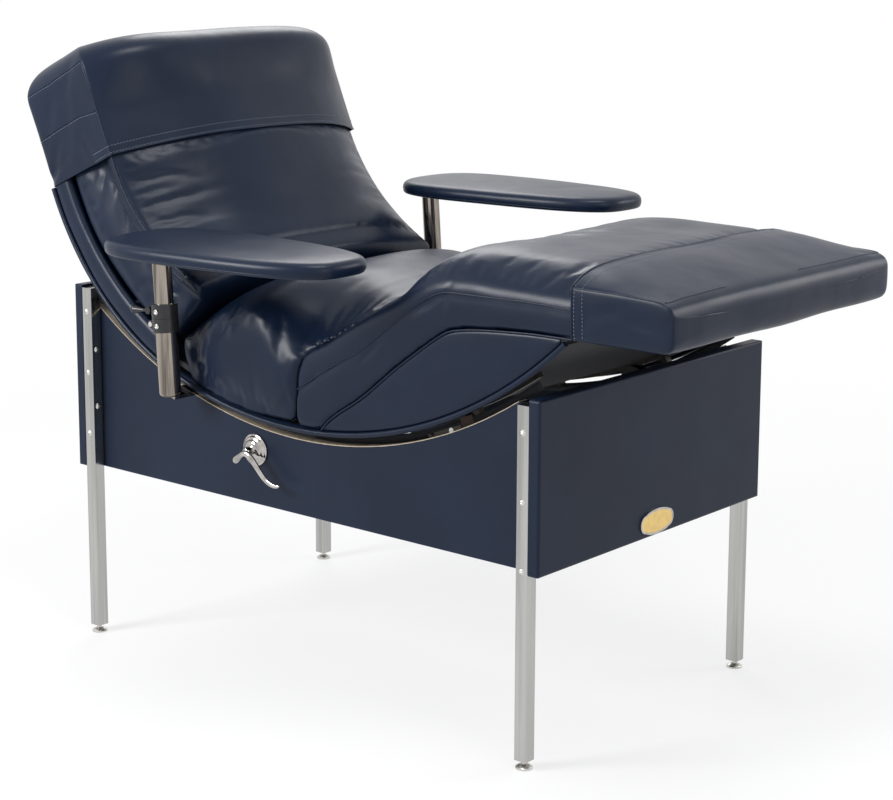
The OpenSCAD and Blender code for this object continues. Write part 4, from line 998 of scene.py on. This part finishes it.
def base_inside_shade():
    """Near-black boards and felt inside the base: dark pieces that paint the shade seen through it."""
    x0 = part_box("head_panel")[1][0] / MM + MID + STRETCHER_GAP
    x1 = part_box("foot_panel")[0][0] / MM + MID - STRETCHER_GAP
    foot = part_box("side_panel_right")[0][2] / MM
    y0, y1, e, t = STRETCHER_IN, STRETCHER_OUT, STRETCHER_EDGE, STRETCHER_T
    section = [(y0, foot + e), (y0 + e, foot), (y1 - e, foot), (y1, foot + e), (y1, foot + t - e),
               (y1 - e, foot + t), (y0 + e, foot + t), (y0, foot + t - e)]
    for side, sy in (("right", -1), ("left", 1)):
        rings = [[P(x, sy * y, z) for y, z in section] for x in spaced(x0, x1, 3)]
        add(loft("base_shade_stretcher_" + side, rings, "lining"), "base")
        rings = [[P(rim(r, a)[0], sy * y, rim(r, a)[1]) for y, r in FELT] for a in spaced(0.8, 35.2, 40)]
        add(loft("base_shade_felt_" + side, rings, "lining"), "base")


def lock():
    low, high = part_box("lock_rosette")
    x, z = (low[0] + high[0]) / 2 / MM + MID, (low[2] + high[2]) / 2 / MM
    y = high[1] / MM
    rosette = lathe("lock_rosette_dome", (x, y, z), ROSETTE, "chrome")
    add(rosette, "base", ("lock_rosette",))
    handle = swept("lock_lever", [(a, LEVER_Y, c, w, t) for a, c, w, t in LEVER], "chrome")
    add(handle, "lock", ("lock_handle",))
    add(lathe("lock_boss", (x, y - BOSS_OUT, z), BOSS, "chrome"), "lock")


# Foot of the arm's post, its lean in degrees, and the head of a clamp's screw
POST_X, POST_Z, POST_LEAN = -256, 533, 4
SCREW_HEAD = ((1, -1.5), (5, -1.5), (5.2, 0.4), (4.4, 1.6), (2.4, 2.2), (2.2, 1.2), (0.6, 1.0))


def clamp_caps():
    """Screw heads on the outer sides of the post clamps."""
    for side, sy in (("right", -1), ("left", 1)):
        for label, node, body in (("lower", "lower_clamps", "lounge"),
                                  ("upper", "upper_clamp_" + side, "arm_clamp_" + side)):
            low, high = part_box(node)
            z = (low[2] + high[2]) / 2 / MM
            x = POST_X - (z - POST_Z) * math.tan(math.radians(POST_LEAN)) + 3
            y = max(abs(low[1]), abs(high[1])) / MM
            rings = [[P(x + r * math.cos(a), sy * (y + h), z + r * math.sin(a)) for a in turn(24)]
                     for r, h in SCREW_HEAD]
            add(loft("clamp_screw_head_%s_%s" % (label, side), rings, "zinc_steel"), body)


# Finish and edge rounding of each CAD node that stays, by the start of its name. The steel inside the base
# and the near-black pieces in and under it are darkened as painted shade.
NODE_MATS = {
    "leg_": "leg_chrome", "leg_screws": "zinc_steel", "leg_deck": "board", "side_panel": "base_vinyl",
    "head_panel": "base_vinyl", "foot_panel": "base_vinyl", "panel_trims": "edge_strip",
    "plaque_rim": "chrome",
    "plaque_face": "gold_field", "roller_": "roller_nylon", "roller_brackets": "shaded_steel",
    "roller_axles": "zinc_steel", "stop_blocks": "brown_rubber", "lock_": "chrome",
    "lock_shaft": "zinc_steel",
    "lock_cam": "zinc_steel", "brake_": "shaded_steel", "brake_pad": "brown_rubber", "glide_": "zinc_steel",
    "bottom_board": "lining", "back_board": "base_vinyl", "rail_": "shaded_steel", "arm_socket": "post_steel",
    "lower_clamps": "black_steel", "clamp_screws": "zinc_steel", "upper_clamp": "black_steel",
    "clamp_lever": "black_steel", "arm_post": "post_steel",
}
ROUNDED = {"leg_head": 1.6, "leg_foot": 1.6, "side_panel": 4.0, "head_panel": 4.0, "foot_panel": 4.0,
           "stop_blocks": 1.5, "roller_brackets": 0.8, "lower_clamps": 1.2, "upper_clamp": 1.2,
           "lock_handle": 1.0, "brake_": 0.8}


def by_prefix(name, table, default=None):
    keys = [k for k in table if name.startswith(k)]
    return table[max(keys, key=len)] if keys else default


def dress_frame():
    for name, obj in frame["nodes"].items():
        finish = by_prefix(name, NODE_MATS, "navy_vinyl")
        obj.data.materials.clear()
        obj.data.materials.append(MATS[finish])
        width = by_prefix(name, ROUNDED)
        if width:
            mod = obj.modifiers.new("edge", "BEVEL")
            mod.width = width * MM
            mod.segments = 3
            mod.limit_method = "ANGLE"
            mod.angle_limit = math.radians(50)
            mod.harden_normals = False


# Studio: each lamp's name, place and target in millimetres, size in metres and power in watts
LAMPS = (("key", (-1500, -3000, 2100), (0, 0, 650), (1.2, 1.2), 120),
         ("top", (700, -300, 3300), (100, 0, 750), (1.3, 1.0), 38),
         ("sheen", (2200, 2600, 1900), (-300, 0, 850), (1.2, 1.2), 26),
         ("fill", (3000, -900, 1500), (200, 0, 600), (1.6, 1.6), 14),
         ("rim", (-1900, 1800, 2500), (-200, 0, 850), (1.2, 1.2), 18))
FLOOR_DROP, FLOOR_SIZE = 0.0004, 30
FADE_NEAR, FADE_FAR, FADE_LOW = 0.9, 3.2, 0.72

# Camera, fitted to the straight edges of the base in the photo
CAMERA_PLACE = (2629, -3014.1, 1410.6)
CAMERA_AZ, CAMERA_EL, CAMERA_ROLL = 40.097, 10.163, 0.207
CAMERA_LENS, CAMERA_SHIFT = 86.0, -0.112


def area_light(name, place, target, size, energy):
    lamp = bpy.data.lights.new(name, "AREA")
    lamp.shape = "RECTANGLE"
    lamp.size, lamp.size_y = size
    lamp.energy = energy
    obj = bpy.data.objects.new(name, lamp)
    bpy.context.scene.collection.objects.link(obj)
    obj.location = place
    obj.rotation_euler = (Vector(target) - Vector(place)).to_track_quat("-Z", "Y").to_euler()


def white_when_seen(nodes, links, share):
    """Factor that is share for rays from the camera, from reflections and through glass, and 0 for others."""
    path = nodes.new("ShaderNodeLightPath")
    seen = path.outputs["Is Camera Ray"]
    for ray in ("Is Glossy Ray", "Is Transmission Ray"):
        either = nodes.new("ShaderNodeMath")
        either.operation = "MAXIMUM"
        links.new(seen, either.inputs[0])
        links.new(path.outputs[ray], either.inputs[1])
        seen = either.outputs[0]
    part = nodes.new("ShaderNodeMath")
    part.operation = "MULTIPLY"
    links.new(seen, part.inputs[0])
    if isinstance(share, float):
        part.inputs[1].default_value = share
    else:
        links.new(share, part.inputs[1])
    return part.outputs[0]


def studio():
    scene = bpy.context.scene
    scene.view_settings.view_transform = "Standard"
    world = bpy.data.worlds.new("studio")
    scene.world = world
    world.use_nodes = True
    nodes, links = world.node_tree.nodes, world.node_tree.links
    soft = nodes["Background"]
    soft.inputs["Color"].default_value = (0.93, 0.95, 1.0, 1)
    soft.inputs["Strength"].default_value = 0.45
    white = nodes.new("ShaderNodeBackground")
    white.inputs["Color"].default_value = (1, 1, 1, 1)
    white.inputs["Strength"].default_value = 1.0
    mix = nodes.new("ShaderNodeMixShader")
    links.new(white_when_seen(nodes, links, 1.0), mix.inputs["Fac"])
    links.new(soft.outputs[0], mix.inputs[1])
    links.new(white.outputs[0], mix.inputs[2])
    links.new(mix.outputs[0], nodes["World Output"].inputs["Surface"])

    bpy.ops.mesh.primitive_grid_add(x_subdivisions=2, y_subdivisions=2, size=FLOOR_SIZE,
                                    location=(0, 0, -FLOOR_DROP))
    floor = bpy.context.object
    floor.name = "floor"
    mat = bpy.data.materials.new("floor")
    mat.use_nodes = True
    nodes, links = mat.node_tree.nodes, mat.node_tree.links
    shader = nodes["Principled BSDF"]
    shader.inputs["Base Color"].default_value = (0.90, 0.90, 0.90, 1)
    shader.inputs["Roughness"].default_value = 0.6
    glow = nodes.new("ShaderNodeEmission")
    glow.inputs["Color"].default_value = (1, 1, 1, 1)
    mix = nodes.new("ShaderNodeMixShader")
    far = nodes.new("ShaderNodeVectorMath")
    far.operation = "LENGTH"
    links.new(coordinates(nodes, links), far.inputs[0])
    fade = nodes.new("ShaderNodeMapRange")
    fade.interpolation_type = "SMOOTHSTEP"
    fade.inputs["From Min"].default_value = FADE_NEAR
    fade.inputs["From Max"].default_value = FADE_FAR
    fade.inputs["To Min"].default_value = FADE_LOW
    links.new(far.outputs["Value"], fade.inputs["Value"])
    links.new(white_when_seen(nodes, links, fade.outputs["Result"]), mix.inputs["Fac"])
    links.new(shader.outputs[0], mix.inputs[1])
    links.new(glow.outputs[0], mix.inputs[2])
    links.new(mix.outputs[0], nodes["Material Output"].inputs["Surface"])
    floor.data.materials.append(mat)

    for name, place, target, size, energy in LAMPS:
        area_light(name, P(*place), P(*target), size, energy)


def photo_camera():
    data = bpy.data.cameras.new("photo")
    data.sensor_width = 36
    data.lens = CAMERA_LENS
    data.shift_y = CAMERA_SHIFT
    cam = bpy.data.objects.new("photo", data)
    bpy.context.scene.collection.objects.link(cam)
    az, el, roll = math.radians(CAMERA_AZ), math.radians(CAMERA_EL), math.radians(CAMERA_ROLL)
    back = Vector((math.sin(az) * math.cos(el), -math.cos(az) * math.cos(el), math.sin(el)))
    cam.location = P(*CAMERA_PLACE)
    cam.rotation_mode = "QUATERNION"
    cam.rotation_quaternion = (-back).to_track_quat("-Z", "Y") @ Quaternion((0, 0, 1), roll)
    bpy.context.scene.camera = cam


photo_camera()
studio()
dress_frame()
leg_cushion()
leg_seams()
leg_sides()
seat()
back_cushion()
back_sides()
piping()
head_seams(head_cover())
foot_cover()
arm_pads()
base_inside_shade()
lock()
clamp_caps()
